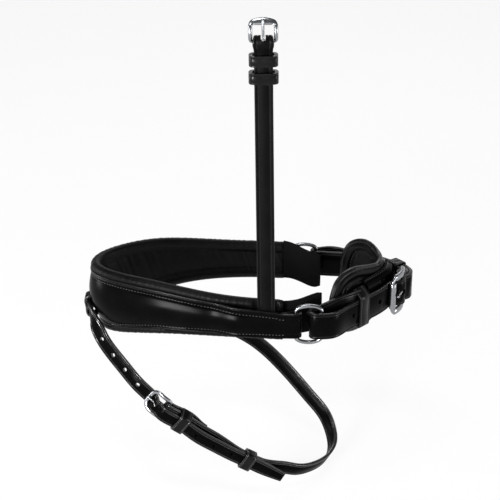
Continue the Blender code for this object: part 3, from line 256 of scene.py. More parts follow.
def strapBlank(name, length, width, thick, edge, spacing, crease=None, creaseBack=False):
    # a flat strap along X with rounded edges and creases: mm from the edge, half its width, its depth
    piece = primitive(bpy.ops.mesh.primitive_cube_add, name, size=1, location=(length / 2, 0, 0),
                      scale=(length, width, thick))
    edit(piece, "EDGE", longEdges, bpy.ops.mesh.bevel, offset=edge, segments=3, profile=0.6)
    if crease:
        inset, size, depth = np.multiply(crease, mm)
        cutAcross(piece, [sign * (width / 2 - inset + shift)
                          for sign in (-1, 1) for shift in (-size, 0, size)])
        for side in (1, -1) if creaseBack else (1,):
            edit(piece, "VERT", lambda p: (np.abs(np.abs(p[:, 1]) - (width / 2 - inset)) < size * 0.3)
                 & (p[:, 2] * side > thick * 0.4), bpy.ops.transform.translate, value=(0, 0, -depth * side))
        # the second material paints the creases and edges a lighter grey, a painted highlight
        for face in piece.data.polygons:             # creases and edges take the strap's second finish
            stand = abs(face.center.y) - width / 2
            face.material_index = int(abs(stand + inset) < size or stand > -edge * 0.8)
    divideLength(piece, spacing)
    return piece


def subtract(piece, cutter):
    activate(piece)
    made = piece.modifiers.new("Boolean", "BOOLEAN")
    made.operation, made.solver, made.object = "DIFFERENCE", "EXACT", cutter
    bpy.ops.object.modifier_apply(modifier=made.name)
    bpy.data.objects.remove(cutter, do_unlink=True)


def punch(piece, places, radius):
    # round holes through a flat strap
    cutters = [primitive(bpy.ops.mesh.primitive_cylinder_add, "holeCutter", vertices=28, radius=radius,
                         depth=bridle["cut"], location=(x, 0, 0)) for x in places]
    activate(*cutters)
    bpy.ops.object.join()
    cutter = bpy.context.object
    # the hole walls take the edges' lighter grey, a painted highlight
    for face in cutter.data.polygons:                # the wall of a hole is burnished like the edges
        face.material_index = 1
    subtract(piece, cutter)


def slotCut(piece, start, end, width):
    # a slot with round ends for a buckle's tongue
    cutter = primitive(bpy.ops.mesh.primitive_cube_add, "slotCutter", size=1,
                       location=((start + end) / 2, 0, 0), scale=(end - start, width, bridle["cut"]))
    edit(cutter, "EDGE", lambda a, b: np.abs(a[:, 2] - b[:, 2]) > 1e-6, bpy.ops.mesh.bevel,
         offset=width * 0.49, segments=5)
    subtract(piece, cutter)


def layOn(piece, path, face=1):
    # bend a flat strap round its line: X along it, Y across, Z out, or in where face is -1
    x, y, z = points(piece).T
    setPoints(piece, onPath(path, x, y, z * face))


def bar(name, path, radius, sides, longest, flatten=None):
    # a round bar bent along a path; radius is a number or a function of the share of its length
    count = max(24, int(path["total"] / longest))
    if path["closed"]:
        piece = primitive(bpy.ops.mesh.primitive_torus_add, name, major_radius=1, minor_radius=0.25,
                          major_segments=count, minor_segments=sides)
        x, y, z = points(piece).T
        share, turn = (np.arctan2(y, x) / (2 * math.pi)) % 1.0, np.arctan2(z, np.hypot(x, y) - 1)
    else:
        piece = primitive(bpy.ops.mesh.primitive_cylinder_add, name, vertices=sides, radius=1, depth=1,
                          rotation=(0, math.pi / 2, 0), location=(0.5, 0, 0))
        divideLength(piece, 1 / count)
        x, y, z = points(piece).T
        share, turn = np.clip(x, 0, 1), np.arctan2(z, y)
    size = radius(share) if callable(radius) else radius
    a, b = size * np.cos(turn), size * np.sin(turn)
    if flatten:
        a, b = flatten(share, a, b)
    setPoints(piece, onPath(path, share * path["total"], a, b))
    return piece


def stitchRow(name, path, start, end, across, out, pitch, thick):
    # waxed stitches between two lengths of a path: short beads, their ends drawn down into the holes;
    # across and out are numbers or functions of the length
    count, half = max(2, int((end - start) / pitch)), pitch * 0.3        # a bead is 0.6 of the pitch long
    model = primitive(bpy.ops.mesh.primitive_uv_sphere_add, "stitchModel", segments=8, ring_count=6, radius=1,
                      rotation=(0, math.pi / 2, 0))
    x, y, z = (points(model) * (half, thick / 2, thick / 2)).T
    z = z - thick * 0.35 * (np.abs(x) / half) ** 3
    copies = []
    for k in range(count):
        length = start + (end - start) * (k + 0.5) / count
        side, stand = (value(length) if callable(value) else value for value in (across, out))
        made = model.copy()
        made.data = model.data.copy()
        made.name = made.data.name = name
        bpy.context.scene.collection.objects.link(made)
        setPoints(made, onPath(path, length + x, side + y, stand + z))
        copies.append(made)
    bpy.data.objects.remove(model, do_unlink=True)
    activate(*copies)
    bpy.ops.object.join()
    return smooth(copies[0], waxedThread, 180)


# Materials

def linear(hexColour):
    parts = [int(hexColour[i:i + 2], 16) / 255 for i in (1, 3, 5)]
    return tuple(c / 12.92 if c <= 0.04045 else ((c + 0.055) / 1.055) ** 2.4 for c in parts) + (1.0,)


def node(tree, kind, links=(), **settings):
    made = tree.nodes.new(kind)
    for key, value in settings.items():
        if key in made.inputs:
            made.inputs[key].default_value = value
        else:
            setattr(made, key, value)
    for target, source in links:
        tree.links.new(source, made.inputs[target])
    return made


def newMaterial(name, colour, **sockets):
    made = bpy.data.materials.new(name)
    made.use_nodes = True
    shader = made.node_tree.nodes["Principled BSDF"]
    for key, value in {"Base Color": linear(colour), **sockets}.items():
        shader.inputs[key].default_value = value
    return made, made.node_tree, shader


worn = {"From Min": 0.3, "From Max": 0.7}          # the values of a noise between which gloss changes


def leather(name, look):
    # a hide's pebble and pores as a bump, and clouds of wear in gloss and colour; all sizes are in mm
    made, tree, shader = newMaterial(name, look["colours"][0], Roughness=sum(look["roughness"]) / 2,
                                     **{"Specular IOR Level": look["gloss"]})
    place = node(tree, "ShaderNodeTexCoord").outputs["Object"]
    pebble = node(tree, "ShaderNodeTexVoronoi", [("Vector", place)], Scale=1 / (look["pebble"] * mm),
                  feature="SMOOTH_F1", Smoothness=0.6)
    pores, clouds = (node(tree, "ShaderNodeTexNoise", [("Vector", place)], Scale=1 / (look[size] * mm),
                          Detail=detail).outputs["Fac"] for size, detail in (("pore", 4.0), ("cloud", 3.0)))
    grain = node(tree, "ShaderNodeMath", [(0, pebble.outputs["Distance"]), (1, pores)], operation="ADD")
    relief = node(tree, "ShaderNodeBump", [("Height", grain.outputs[0])], Strength=look["bump"],
                  Distance=look["depth"] * mm)
    tree.links.new(relief.outputs["Normal"], shader.inputs["Normal"])
    low, high = look["roughness"]
    wear = node(tree, "ShaderNodeMapRange", [("Value", clouds)], **{**worn, "To Min": low, "To Max": high})
    tree.links.new(wear.outputs["Result"], shader.inputs["Roughness"])
    tint = node(tree, "ShaderNodeValToRGB", [("Fac", clouds)])
    for stop, share, colour in zip(tint.color_ramp.elements, (0.35, 0.75), look["colours"]):
        stop.position, stop.color = share, linear(colour)
    tree.links.new(tint.outputs["Color"], shader.inputs["Base Color"])
    return made


# vegetable-tanned bridle leather, waxed and rolled smooth: a deep black with a soft sheen, hardly any grain
bridleLeather = leather("bridleLeatherWaxed", {
    "colours": ("#030303", "#060606"), "roughness": (0.17, 0.25), "gloss": 0.027,
    "pebble": 0.9, "pore": 0.35, "cloud": 22, "bump": 0.10, "depth": 0.05})
# the same leather on the flash strap, glazed harder: a little more of the studio shows in its face
flashLeather = leather("bridleLeatherGlazed", {
    "colours": ("#040404", "#070707"), "roughness": (0.24, 0.36), "gloss": 0.015,
    "pebble": 0.8, "pore": 0.3, "cloud": 15, "bump": 0.16, "depth": 0.06})
# the same leather rolled smooth and polished for the keepers, with upright lights at their corners
keeperLeather = leather("bridleLeatherRolled", {
    "colours": ("#060606", "#0a0a0a"), "roughness": (0.23, 0.31), "gloss": 0.14,
    "pebble": 0.9, "pore": 0.35, "cloud": 12, "bump": 0.08, "depth": 0.05})
# soft full-grain lining leather, drum-dyed and matt, with a fine pebble
liningLeather = leather("liningLeatherSoft", {
    "colours": ("#030303", "#070707"), "roughness": (0.40, 0.53), "gloss": 0.095,
    "pebble": 1.1, "pore": 0.5, "cloud": 18, "bump": 0.45, "depth": 0.16})
# the guards' buffed back, like nubuck: no shine at all
guardLeather = leather("liningLeatherBuffed", {
    "colours": ("#0a0a0a", "#0e0e0e"), "roughness": (0.72, 0.86), "gloss": 0.04,
    "pebble": 1.2, "pore": 0.6, "cloud": 14, "bump": 0.5, "depth": 0.14})
# bridle leather left dry on the cheek strap: its face is a plain dark grey
cheekLeather = leather("bridleLeatherDry", {
    "colours": ("#060606", "#0a0a0a"), "roughness": (0.44, 0.56), "gloss": 0.045,
    "pebble": 0.9, "pore": 0.35, "cloud": 16, "bump": 0.16, "depth": 0.06})
# edges and pressed creases, rubbed with wax on a wheel and glossier; their lighter grey is a painted
# highlight, so they show as thin bright lines
burnishedEdgeWithPaintedHighlight = leather("bridleEdgeBurnishedPaintedHighlight", {
    "colours": ("#0c0c0c", "#141414"), "roughness": (0.24, 0.36), "gloss": 0.2,
    "pebble": 1.4, "pore": 0.6, "cloud": 9, "bump": 0.10, "depth": 0.05})
# the flash strap's edges are glazed too, and shine most; their still lighter grey is a painted highlight
glazedEdgeWithPaintedHighlight = leather("bridleEdgeGlazedPaintedHighlight", {
    "colours": ("#101010", "#1c1c1c"), "roughness": (0.18, 0.32), "gloss": 0.65,
    "pebble": 1.4, "pore": 0.6, "cloud": 7, "bump": 0.12, "depth": 0.05})
# bonded polyester thread, waxed: dark grey where the light catches it
waxedThread, _, _ = newMaterial("polyesterThreadWaxed", "#303030", Roughness=0.45)


def steel(name, look):
    made, tree, shader = newMaterial(name, look["colour"], Roughness=sum(look["roughness"]) / 2, Metallic=1.0)
    place = node(tree, "ShaderNodeTexCoord").outputs["Object"]
    marks = node(tree, "ShaderNodeTexNoise", [("Vector", place)], Scale=1 / (look["mark"] * mm), Detail=5.0)
    low, high = look["roughness"]
    rough = node(tree, "ShaderNodeMapRange", [("Value", marks.outputs["Fac"])],
                 **{**worn, "To Min": low, "To Max": high})
    tree.links.new(rough.outputs["Result"], shader.inputs["Roughness"])
    return made


# stainless steel, tumbled and polished: bright, with faint polishing marks
polishedSteel = steel("stainlessSteelPolished", {"colour": "#8f9194", "roughness": (0.20, 0.28), "mark": 1.4})
print("materials made")


# Nose band: the line where strap and lining meet, and the heights along it

noseBand = inMetres(centreX=23, reach=152, halfWidth=58.6, cheekX=13.1, ringX=37.4, ringWire=1.9,
                    endHeight=22, turnBack=13, padEnd=10.4, fillerEnd=172, panel=4.6, roll=4.5,
                    rollInset=2.0)
noseBand["lean"] = math.tan(math.radians(7))
noseBand["ringY"] = noseBand["halfWidth"] + bridle["strap"] + gap - noseBand["ringWire"]
heightTable = np.array((
    # distance from the nose, strap top, strap bottom, lining top, lining bottom, height of the swell (mm)
    (0, 25, -23.5, 30.6, -31, 4.0), (25, 25.3, -20.6, 31, -27, 3.9), (50, 25.4, -15.5, 31.4, -21.4, 3.7),
    (68, 24.6, -12, 30.9, -18, 3.4), (90, 22.5, -10.4, 28.6, -15.3, 3.0), (111, 19.6, -9.8, 25.8, -14.2, 2.6),
    (136, 16.8, -9.8, 23, -14, 2.1), (164, 13.6, -10.6, 21.2, -14.8, 1.3), (175, 12.2, -11, 20.6, -15.4, 0.9),
    (190, 11, -11, 20, -15.6, 0.6))) * mm


def bandHeight(column, distance):
    return smoothTable(heightTable[:, 0], heightTable[:, column], np.abs(distance))


def noseAcross(places):
    forward = np.clip((noseBand["centreX"] - places[:, 0]) / noseBand["reach"], 0, 1) ** 4
    across = np.tile((0, 0, 1.0), (len(places), 1))
    across[:, 0] = -noseBand["lean"] * forward
    return unit(across)


def mirrored(spots):
    return [(x, -y, z) for x, y, z in reversed(spots)]


def noseLine():
    width, ringX = noseBand["halfWidth"], noseBand["ringX"]
    front = [(noseBand["centreX"] - noseBand["reach"] * math.cos(a), width * math.sin(a), 0)
             for a in np.radians(np.arange(-90, 91, 6))]
    ends = [(ringX + 6 * mm, -width, 0), (ringX - 5 * mm, -width, 0)]
    return makePath(ends + front + mirrored(ends), noseAcross)


def cheekRoom(place):
    # the strap stands off the lining where the cheek strap's end lies between them
    blend = ease((place[..., 0] + 32 * mm) / (25 * mm))
    inward = np.maximum(0, noseBand["halfWidth"] - np.abs(place[..., 1]))
    return blend * (bridle["strap"] + gap + blend * inward)


bandLine = noseLine()
bandMiddle = bandLine["total"] / 2


def noseStrapPath():
    turn = noseBand["ringWire"] + gap + bridle["strap"] / 2
    ringX, ringY, back = noseBand["ringX"], noseBand["ringY"], noseBand["turnBack"]
    pinched = -ringY - turn + bridle["strap"] + gap
    near = [(ringX - back, pinched, 0), (ringX - back * 0.55, pinched + 0.5 * mm, 0)]
    near += arc((ringX, -ringY, 0), turn, 100, -90, 9, (1, 0, 0), (0, 1, 0))
    near.append((ringX - 6 * mm, -ringY - turn, 0))
    start = nearest(bandLine, (noseBand["centreX"], -noseBand["halfWidth"], 0))
    lengths = np.linspace(start, bandMiddle, 18)
    stand = gap + bridle["strap"] / 2 + cheekRoom(onPath(bandLine, lengths))
    near += list(onPath(bandLine, lengths, 0, stand))
    return makePath(near + mirrored(near[:-1]), noseAcross)


strapPath = noseStrapPath()
# how far round the band's line each place on the strap lies from the nose; past the filler, along the strap
strapKnown = np.linspace(0, strapPath["total"], 400)
strapOwn = np.abs(strapKnown - strapPath["total"] / 2)
strapRound = [abs(nearest(bandLine, place) - bandMiddle) for place in onPath(strapPath, strapKnown)]
strapDistance = np.where(strapOwn > noseBand["fillerEnd"] + 6 * mm, strapOwn, strapRound)


def strapEdges(lengths):
    distance = np.interp(lengths, strapKnown, strapDistance)
    end = np.clip((distance - 170 * mm) / (14 * mm), 0, 1)
    low = bandHeight(2, distance) * (1 - end) - noseBand["endHeight"] / 2 * end
    high = bandHeight(1, distance) * (1 - end) + noseBand["endHeight"] / 2 * end
    return distance, low, high


noseStrapLook = {"dome": 0.9, "cuts": 31, **inMetres(
    blank=40, edge=0.9, spacing=2.4, upperRow=4.8, lowerRow=3.4, groove=0.45, grooveWidth=0.8, pitch=2.7,
    thread=0.75)}


def strapRows(lengths):
    _, low, high = strapEdges(lengths)
    return low + noseStrapLook["lowerRow"], high - noseStrapLook["upperRow"]


def swell(lengths, across):
    # how far the strap's face stands out over the filler between its two rows of stitching
    distance, (lower, upper) = strapEdges(lengths)[0], strapRows(lengths)
    share = np.clip((across - lower) / (upper - lower), 0, 1)
    dome = np.sin(math.pi * share) ** noseStrapLook["dome"]
    fade = ease((noseBand["fillerEnd"] - distance) / (30 * mm))
    raised = bandHeight(5, distance) * dome * (0.1 + 0.9 * fade)
    groove = sum(hump(across, row, noseStrapLook["grooveWidth"]) for row in (lower, upper))
    return raised * 1.1 - groove * noseStrapLook["groove"]


def makeNoseStrap():
    look, width = noseStrapLook, noseStrapLook["blank"]
    piece = strapBlank("noseStrap", strapPath["total"], width, bridle["strap"], look["edge"], look["spacing"],
                       (1.9, 0.3, 0.25))
    cutAcross(piece, np.linspace(-0.43, 0.43, look["cuts"]) * width)
    x, y, z = points(piece).T
    _, low, high = strapEdges(x)
    across = low + (y / width + 0.5) * (high - low)
    setPoints(piece, onPath(strapPath, x, across, z + swell(x, across) * np.clip(z / (1.2 * mm), 0, 1)))
    smooth(piece, bridleLeather, 50, burnishedEdgeWithPaintedHighlight)
    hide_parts("nose_strap", "nose_raise_filler")
    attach(piece, "noseband")
    start = nearest(strapPath, (noseBand["ringX"] - 9 * mm, -noseBand["ringY"] - 3 * mm, 0))
    for name, row in (("noseStitchesUpper", 1), ("noseStitchesLower", 0)):
        stitches = stitchRow(name, strapPath, start, strapPath["total"] - start, lambda n: strapRows(n)[row],
                             lambda n: bridle["strap"] / 2 + swell(n, strapRows(n)[row]) + 0.3 * mm,
                             look["pitch"], look["thread"])
        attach(stitches, "noseband")
    print("nose strap and its stitching made")


makeNoseStrap()


# Lining: a soft cover rolled over foam at both edges, with a thin gathered panel between

liningLook = {"sides": 64, **inMetres(
    spacing=1.0, farMore=5.5, crease=0.8, bulge=1.2, lowerRoll=5.5, farLift=1.1, farFrom=60, farRun=60,
    panelGathers=((12.7, 0.40), (7.3, 0.38), (4.1, 0.20)), rollGathers=((5.2, 0.12), (3.1, 0.10)))}


def liningSection(distance):
    # one closed section as (out, across) rows: upper roll, panel, lower roll, and back behind the strap
    strapTop, strapBottom, top, bottom = (bandHeight(column, distance) for column in (1, 2, 3, 4))
    bottom = bottom + liningLook["farLift"] * ease((distance - liningLook["farFrom"]) / liningLook["farRun"])
    rolls = []
    for radius, rim, edge, turn in ((noseBand["roll"], top, strapTop, 1),
                                    (liningLook["lowerRoll"], bottom, strapBottom, -1)):
        centre = rim - turn * radius
        sink = np.clip(turn * (edge + turn * 0.6 * mm - centre) / radius, -0.85, 0.3)
        rolls.append([(-noseBand["rollInset"] + radius * math.cos(a), centre + turn * radius * math.sin(a))
                      for a in np.linspace(math.asin(sink), math.radians(228), 20)])
    upper, lower = rolls
    between = np.linspace(upper[-1][1], lower[-1][1], 14)[1:-1]
    rows = upper + [(-noseBand["panel"] + 0.5 * mm, v) for v in between] + lower[::-1]
    back = np.linspace(strapBottom, strapTop, liningLook["sides"] - len(rows) + 2)[1:-1]
    return np.array(rows + [(-gap, v) for v in back])


def makeLining():
    end = nearest(bandLine, (noseBand["ringX"] - noseBand["padEnd"], noseBand["halfWidth"], 0)) - bandMiddle
    sides, more = liningLook["sides"], liningLook["farMore"]     # the far end runs a little further back
    piece = primitive(bpy.ops.mesh.primitive_cylinder_add, "noseLining", vertices=sides, radius=1,
                      depth=2 * end + more, end_fill_type="TRIFAN", location=(more / 2, 0, 0),
                      rotation=(0, math.pi / 2, 0))
    divideLength(piece, liningLook["spacing"])
    x, y, z = points(piece).T
    index = np.round((np.arctan2(z, y) / (2 * math.pi) * sides) % sides).astype(int) % sides
    hub = np.hypot(y, z) < 0.5
    out, across = np.zeros(len(x)), np.zeros(len(x))
    for station in np.unique(np.round(x, 6)):
        here = np.abs(x - station) < 1e-5
        section = liningSection(station)
        out[here], across[here] = section[index[here]].T
        out[here & hub], across[here & hub] = section.mean(axis=0)
    place, middle = x + bandMiddle, np.abs(x)
    onPanel, onUpper, onLower = (index >= 18) & (index < 34), index < 20, (index >= 32) & (index < 52)
    front = ease((120 * mm - middle) / (60 * mm))
    high = np.clip(np.sin(math.pi * (index - 19.5) / 14), 0, 1)           # 1 halfway down the panel
    gather = ripple(place + across * 0.35, liningLook["panelGathers"], 1.0) * (0.45 + 0.55 * front)
    out += np.where(onPanel, gather * (0.3 + 0.7 * high) - liningLook["bulge"] * high, 0)
    push = np.where(onUpper | onLower, ripple(place + across * 0.25, liningLook["rollGathers"], 2.0), 0)
    out += push * 0.7 + np.where(np.isin(index, (19, 20, 33, 34)), liningLook["crease"], 0)
    across += push * 0.5 * np.where(onUpper, 1, -1)
    closing = 1 - 0.4 * ease((middle - np.where(x > 0, end + more, end) + 4 * mm) / (4 * mm))
    out = -gap + (out + gap) * closing                                   # the ends are drawn in and sewn flat
    near = ease((12 * mm - np.abs(onPath(bandLine, place)[:, 0] - noseBand["cheekX"])) / (3.5 * mm))
    out -= near * np.maximum(0, out - 0.1 * mm)                          # room for the cheek strap
    setPoints(piece, onPath(bandLine, place, across, out))
    smooth(piece, liningLeather, 60)
    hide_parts("nose_lining", "nose_pad_foam")
    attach(piece, "noseband")
    print("lining made")


makeLining()


# Guards: flat flaps behind the rings, turned in along the cheek, a line pressed along their edges

guard = inMetres(blank=40, thick=2.0, reach=35.5, inturn=16.7, row=2.2, rowWidth=0.8, press=0.2, leave=1.3,
                 sink=1.7, lap=3.0, over=4.9)
guardEdges = {
    # side: how much longer it is, and by share of its length its bottom and top (mm)
    -1: (-1.4, ((0, -12.5, 17.6), (0.2, -12.3, 17.6), (0.6, -13, 19.3), (1, -14.6, 20.6))),
    1: (1.6, ((0, -12.3, 23.4), (0.16, -12.8, 22), (0.55, -15.2, 17.8), (0.82, -16.6, 16.2),
              (1, -15.2, 15.6))),
}


def makeGuard(name, stands, side):
    longer, edges = guardEdges[side]
    slope = math.asin(guard["inturn"] / guard["reach"])
    along = np.array((math.cos(slope), math.sin(slope), 0)) * (guard["reach"] + longer * mm)
    padEnd = noseBand["ringX"] - noseBand["padEnd"]
    start = np.array((padEnd + guard["leave"] + guard["thick"] * math.sin(slope),
                      -noseBand["ringY"] + guard["sink"], 0))
    lining = padEnd + (liningLook["farMore"] if side > 0 else 0)
    lapped = -noseBand["halfWidth"] + guard["over"]     # its front end is sewn on over the lining's end
    line = makePath([(lining - guard["lap"], lapped, 0), (lining, lapped - 0.1 * mm, 0),
                     (lining + 3 * mm, lapped, 0)] + [start + along * share for share in (0.42, 0.7, 1)])
    piece = strapBlank(name, line["total"], guard["blank"], guard["thick"], 0.5 * mm, 1.6 * mm)
    cutAcross(piece, np.linspace(-0.45, 0.45, 13) * guard["blank"])
    x, y, z = points(piece).T
    table = np.array(edges)
    low, high = (smoothTable(table[:, 0], table[:, column] * mm, x / line["total"]) for column in (1, 2))
    corner = ease((x - line["total"] + 4 * mm) / (4 * mm))               # a little narrower at its back end
    across = (low + high) / 2 + y / guard["blank"] * (high - low) * (1 - 0.06 * corner)
    fromRow = np.minimum(np.abs(across - low - guard["row"]), np.abs(high - guard["row"] - across))
    press = hump(fromRow, 0, guard["rowWidth"]) * guard["press"] * np.sign(z) * (np.abs(z) > 0.7 * mm)
    setPoints(piece, onPath(line, x, across, z + guard["thick"] / 2 - press) * (1, -side, 1))
    smooth(piece, guardLeather, 50)
    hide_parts(stands)
    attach(piece, "noseband")


makeGuard("nearGuard", "near_ring_guard", -1)
makeGuard("farGuard", "far_ring_guard", 1)
print("guards made")


# Rings

ring = inMetres(width=21.2, bar=23.4, crown=5.0, wire=1.7)


def makeRing(name, stands, side):
    half, halfBar = ring["width"] / 2, ring["bar"] / 2
    outline = [(half, z * halfBar) for z in (-1, -0.5, 0, 0.5, 1)]
    outline += [(half * math.cos(a), halfBar + ring["crown"] * math.sin(a))
                for a in np.linspace(0, math.pi, 13)[1:-1]]
    outline += [(-x, -z) for x, z in outline]
    spots = [(noseBand["ringX"] + half + x, side * noseBand["ringY"], z) for x, z in outline]
    piece = bar(name, makePath(spots, facing((0, 1.0, 0)), closed=True), ring["wire"], 24, 1.2 * mm)
    smooth(piece, polishedSteel, 60)
    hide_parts(stands)
    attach(piece, stands)


makeRing("nearRing", "near_ring", -1)
makeRing("farRing", "far_ring", 1)
print("rings made")


# Flash tab: a short strap sewn on under the swell, open below as a loop

tab = inMetres(width=16, loop=11.0, thick=1.4, top=-2.6, bottom=-19.6, foot=5.0, play=0.55, shorter=0.3,
               row=1.6, pitch=2.6, thread=0.45)


def faceUnderTab(height):
    # how far the strap's face stands out here: the swell has straight sides, as in the solids
    low, high, raised = (bandHeight(column, 0) for column in (2, 1, 5))
    lift = np.interp((height - low) / (high - low), (0, 0.12, 0.36, 0.64, 0.88, 1), (0, 0, 1, 1, 0, 0))
    return gap + bridle["strap"] + raised * lift


tabInside = faceUnderTab(tab["top"] - tab["foot"] / 2) + gap
tabRoom = bridle["flash"] + 2 * tab["play"]
tabStand = tabInside + tabRoom / 2                   # where the flash strap runs through the loop


def makeTab():
    thick, foot = tab["thick"], tab["foot"]
    top, bottom = tab["top"] - tab["shorter"], tab["bottom"] + tab["shorter"]
    outer = tabInside + tabRoom + thick / 2
    sewn = faceUnderTab(tab["top"] + foot) + gap + thick / 2
    under = gap + bridle["strap"] + gap + thick / 2
    section = (
        # how far out and how high, from the foot over the loop to the end under the strap
        (sewn - 0.5 * mm, top + foot * 0.7), (sewn - 0.2 * mm, top + foot * 0.4),
        (sewn + 0.3 * mm, top + thick), (outer - 1.2 * mm, top + thick * 0.5),
        (outer, top - thick), (outer, (top + bottom) / 2),
        (outer, bottom + thick), (outer - 1.4 * mm, bottom - thick * 0.4),
        ((outer + under) / 2, bottom - thick * 0.55), (under + 1.2 * mm, bottom - thick * 0.3),
        (under - 0.2 * mm, bottom - thick * 0.1))
    front = frameOf(bandLine, bandMiddle)
    line = makePath([at(front, out, across) for out, across in section], facing(front["along"]))
    piece = strapBlank("flashTab", line["total"], tab["loop"], thick, 0.4 * mm, 1.0 * mm,
                       (tab["row"] / mm, 0.35, 0.2))
    layOn(piece, line)
    smooth(piece, flashLeather, 50, glazedEdgeWithPaintedHighlight)
    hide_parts("flash_tab")
    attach(piece, "noseband")
    row = tab["loop"] / 2 - tab["row"]
    for name, side in (("tabStitchesNear", -1), ("tabStitchesFar", 1)):
        stitches = stitchRow(name, line, 1 * mm, line["total"] - 2 * mm, side * row, thick / 2 - 0.1 * mm,
                             tab["pitch"], tab["thread"])
        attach(stitches, "noseband")
    print("flash tab made")


makeTab()


# Buckles: a bent frame with arched sides, and a tongue hooked round its hinge bar

buckleDefaults = {"crown": 0.0, "flat": 0.0, "broad": 0.0, "lean": 0.0, "beyond": 1.0, "play": 0.2 * mm}


def buckleHeight(size, along):
    return size["arch"] * np.sin(math.pi * np.clip(along / size["length"], 0, 1))


def halfRoute(half, length, small, corner, step=0.9 * mm):
    # from the middle of the hinge bar round one side to the middle of the outer bar, evenly stepped
    def run(start, end):
        shares = np.linspace(0, 1, max(2, int(math.dist(start, end) / step)))[:-1]
        return [tuple(a + (b - a) * share for a, b in zip(start, end)) for share in shares]

    def turned(v, w, radius, start):
        angles = np.radians(np.linspace(start, start + 90, max(3, int(radius * 1.57 / step) + 1)))[:-1]
        return [(v + radius * math.cos(a), w + radius * math.sin(a)) for a in angles]
    return (run((0, 0), (half - small, 0)) + turned(half - small, small, small, -90)
            + run((half, small), (half, length - corner)) + turned(half - corner, length - corner, corner, 0)
            + run((half - corner, length), (0, length)) + [(0.0, length)])


def buckleFrame(name, place, size):
    half, length, corner, small = size["width"] / 2, size["length"], size["corner"], size["bar"] * 1.15
    route = [(v, w + size["crown"] * ease((w - length + corner) / corner) * (1 - (v / half) ** 2))
             for v, w in halfRoute(half, length, small, corner)]
    route += [(-v, w) for v, w in reversed(route[1:-1])]
    path = makePath([at(place, buckleHeight(size, w), v, w) for v, w in route], facing(place["out"]),
                    closed=True)
    offset = path["points"] - place["at"]
    known = {"hinge": np.abs(offset @ place["along"]),               # how far from the hinge bar
             "aside": offset @ place["across"] / half,               # how far from the middle, -1 to 1
             "upward": np.sign(path["out"] @ place["along"])}        # whether the section's out looks up

    def along(what, share):
        return np.interp(share, path["lengths"] / path["total"], known[what])

    def toOuter(hinge):
        return ease((hinge - length * 0.86) / (length * 0.1))

    def radius(share):
        hinge = along("hinge", share)
        side = size["bar"] + (size["side"] - size["bar"]) * ease((hinge - small * 0.4) / (small * 1.2))
        return side + (size["outer"] - size["side"]) * toOuter(hinge)

    def flatten(share, across, out):
        hinge = along("hinge", share)
        squarer = size["flat"] * ease((hinge - small * 0.6) / (small * 1.4))
        lean = size["lean"] * toOuter(hinge)
        broader = size["broad"] * toOuter(hinge) * np.clip(1 - along("aside", share) ** 2, 0, 1)
        out = out * (1 + squarer + broader)
        return across * (1 - 0.6 * lean) - out * lean * along("upward", share), out
    return bar(name, path, radius, 24, 0.7 * mm, flatten)


def tongueLift(size, rest):
    # how far above the frame's plane the tongue's middle runs, at the hinge bar and at its tip
    return size["bar"] + size["play"] + size["tongue"], rest + size["play"] + size["tongue"]


def buckleTongue(name, place, size, rest):
    wire, length = size["tongue"], size["length"] + size["crown"]
    turn, tip = tongueLift(size, rest)
    spots = arc(place["at"], turn, 235, 90, 11, place["along"], place["out"])
    spots += [at(place, turn + (tip - turn) * share, 0, length * share) for share in (0.2, 0.45, 0.7, 0.92)]
    spots += [at(place, tip, 0, length + rest * 0.5 * size["beyond"]),
              at(place, tip - wire * 0.3, 0, length + (rest + wire) * size["beyond"])]

    def radius(share):
        swelling = 0.78 + 0.22 * ease((share - 0.42) / 0.25) * (1 - 0.5 * ease((share - 0.75) / 0.25))
        return wire * swelling * np.minimum(1, np.sqrt(np.clip((1 - share) / 0.05, 0.02, 1)))
    return bar(name, makePath(spots, facing(place["across"])), radius, 16, 0.5 * mm)


def makeBuckle(name, stands, place, size, rest):
    # frame and tongue, each on its own body; the tongue rests on a bar of the radius given
    for piece, angle, part in ((buckleFrame(name + "Frame", place, size), 60, "_frame"),
                               (buckleTongue(name + "Tongue", place, size, rest), 70, "_tongue")):
        smooth(piece, polishedSteel, angle)
        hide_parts(stands + part)
        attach(piece, stands + part)


# Keepers: a creased leather loop closed round the strap

def inside(inner, outer, side):
    # the corners of a keeper's opening, as (out, across)
    return (inner, -side), (outer, -side), (outer, side), (inner, side)


def makeKeeper(name, stands, body, place, corners, look):
    corners, wall, turn = [np.array(corner, float) for corner in corners], look["wall"], look["turn"]
    spots = []
    for i, corner in enumerate(corners):
        before, after = unit(corners[i - 1] - corner), unit(corners[(i + 1) % 4] - corner)
        middle = corner - unit(before + after) * wall * 0.62
        far = np.linalg.norm(corners[(i + 1) % 4] - corner)
        spots += [middle + before * turn, middle + (before + after) * turn * 0.24, middle + after * turn]
        if far > 4 * turn:
            spots.append(middle + after * far * 0.5)
    line = makePath([at(place, out, across) for out, across in spots], facing(place["along"]), closed=True)
    piece = strapBlank(name, line["total"] - 0.1 * mm, look["length"], wall, 0.45 * mm, 0.7 * mm,
                       look["crease"])
    layOn(piece, line, np.sign((line["points"][0] - place["at"]) @ line["out"][0]))
    smooth(piece, keeperLeather, 50, look["trim"])
    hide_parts(stands)
    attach(piece, body)


# Cheek strap: sewn between strap and lining, up to its buckle, folded over the hinge bar and back down

cheek = {"lean": math.radians(0.84), **inMetres(width=14.5, foldZ=24.5, barZ=241.6, turnBack=40.5, room=0.5,
                                                side=1.1, keeperZ=226.6, sliderZ=212.8, sliderPlay=0.3)}
cheekKeeper = {"trim": burnishedEdgeWithPaintedHighlight, "crease": (1.6, 0.35, 0.22), **inMetres(wall=3.0, length=8.6, turn=3.2)}
cheekBuckle = {**buckleDefaults, "flat": 0.1, "broad": 0.8, "lean": 0.45, **inMetres(
    width=19.4, length=14.3, bar=1.45, side=1.45, outer=1.45, arch=2.2, corner=2.6, tongue=1.15, crown=1.2)}


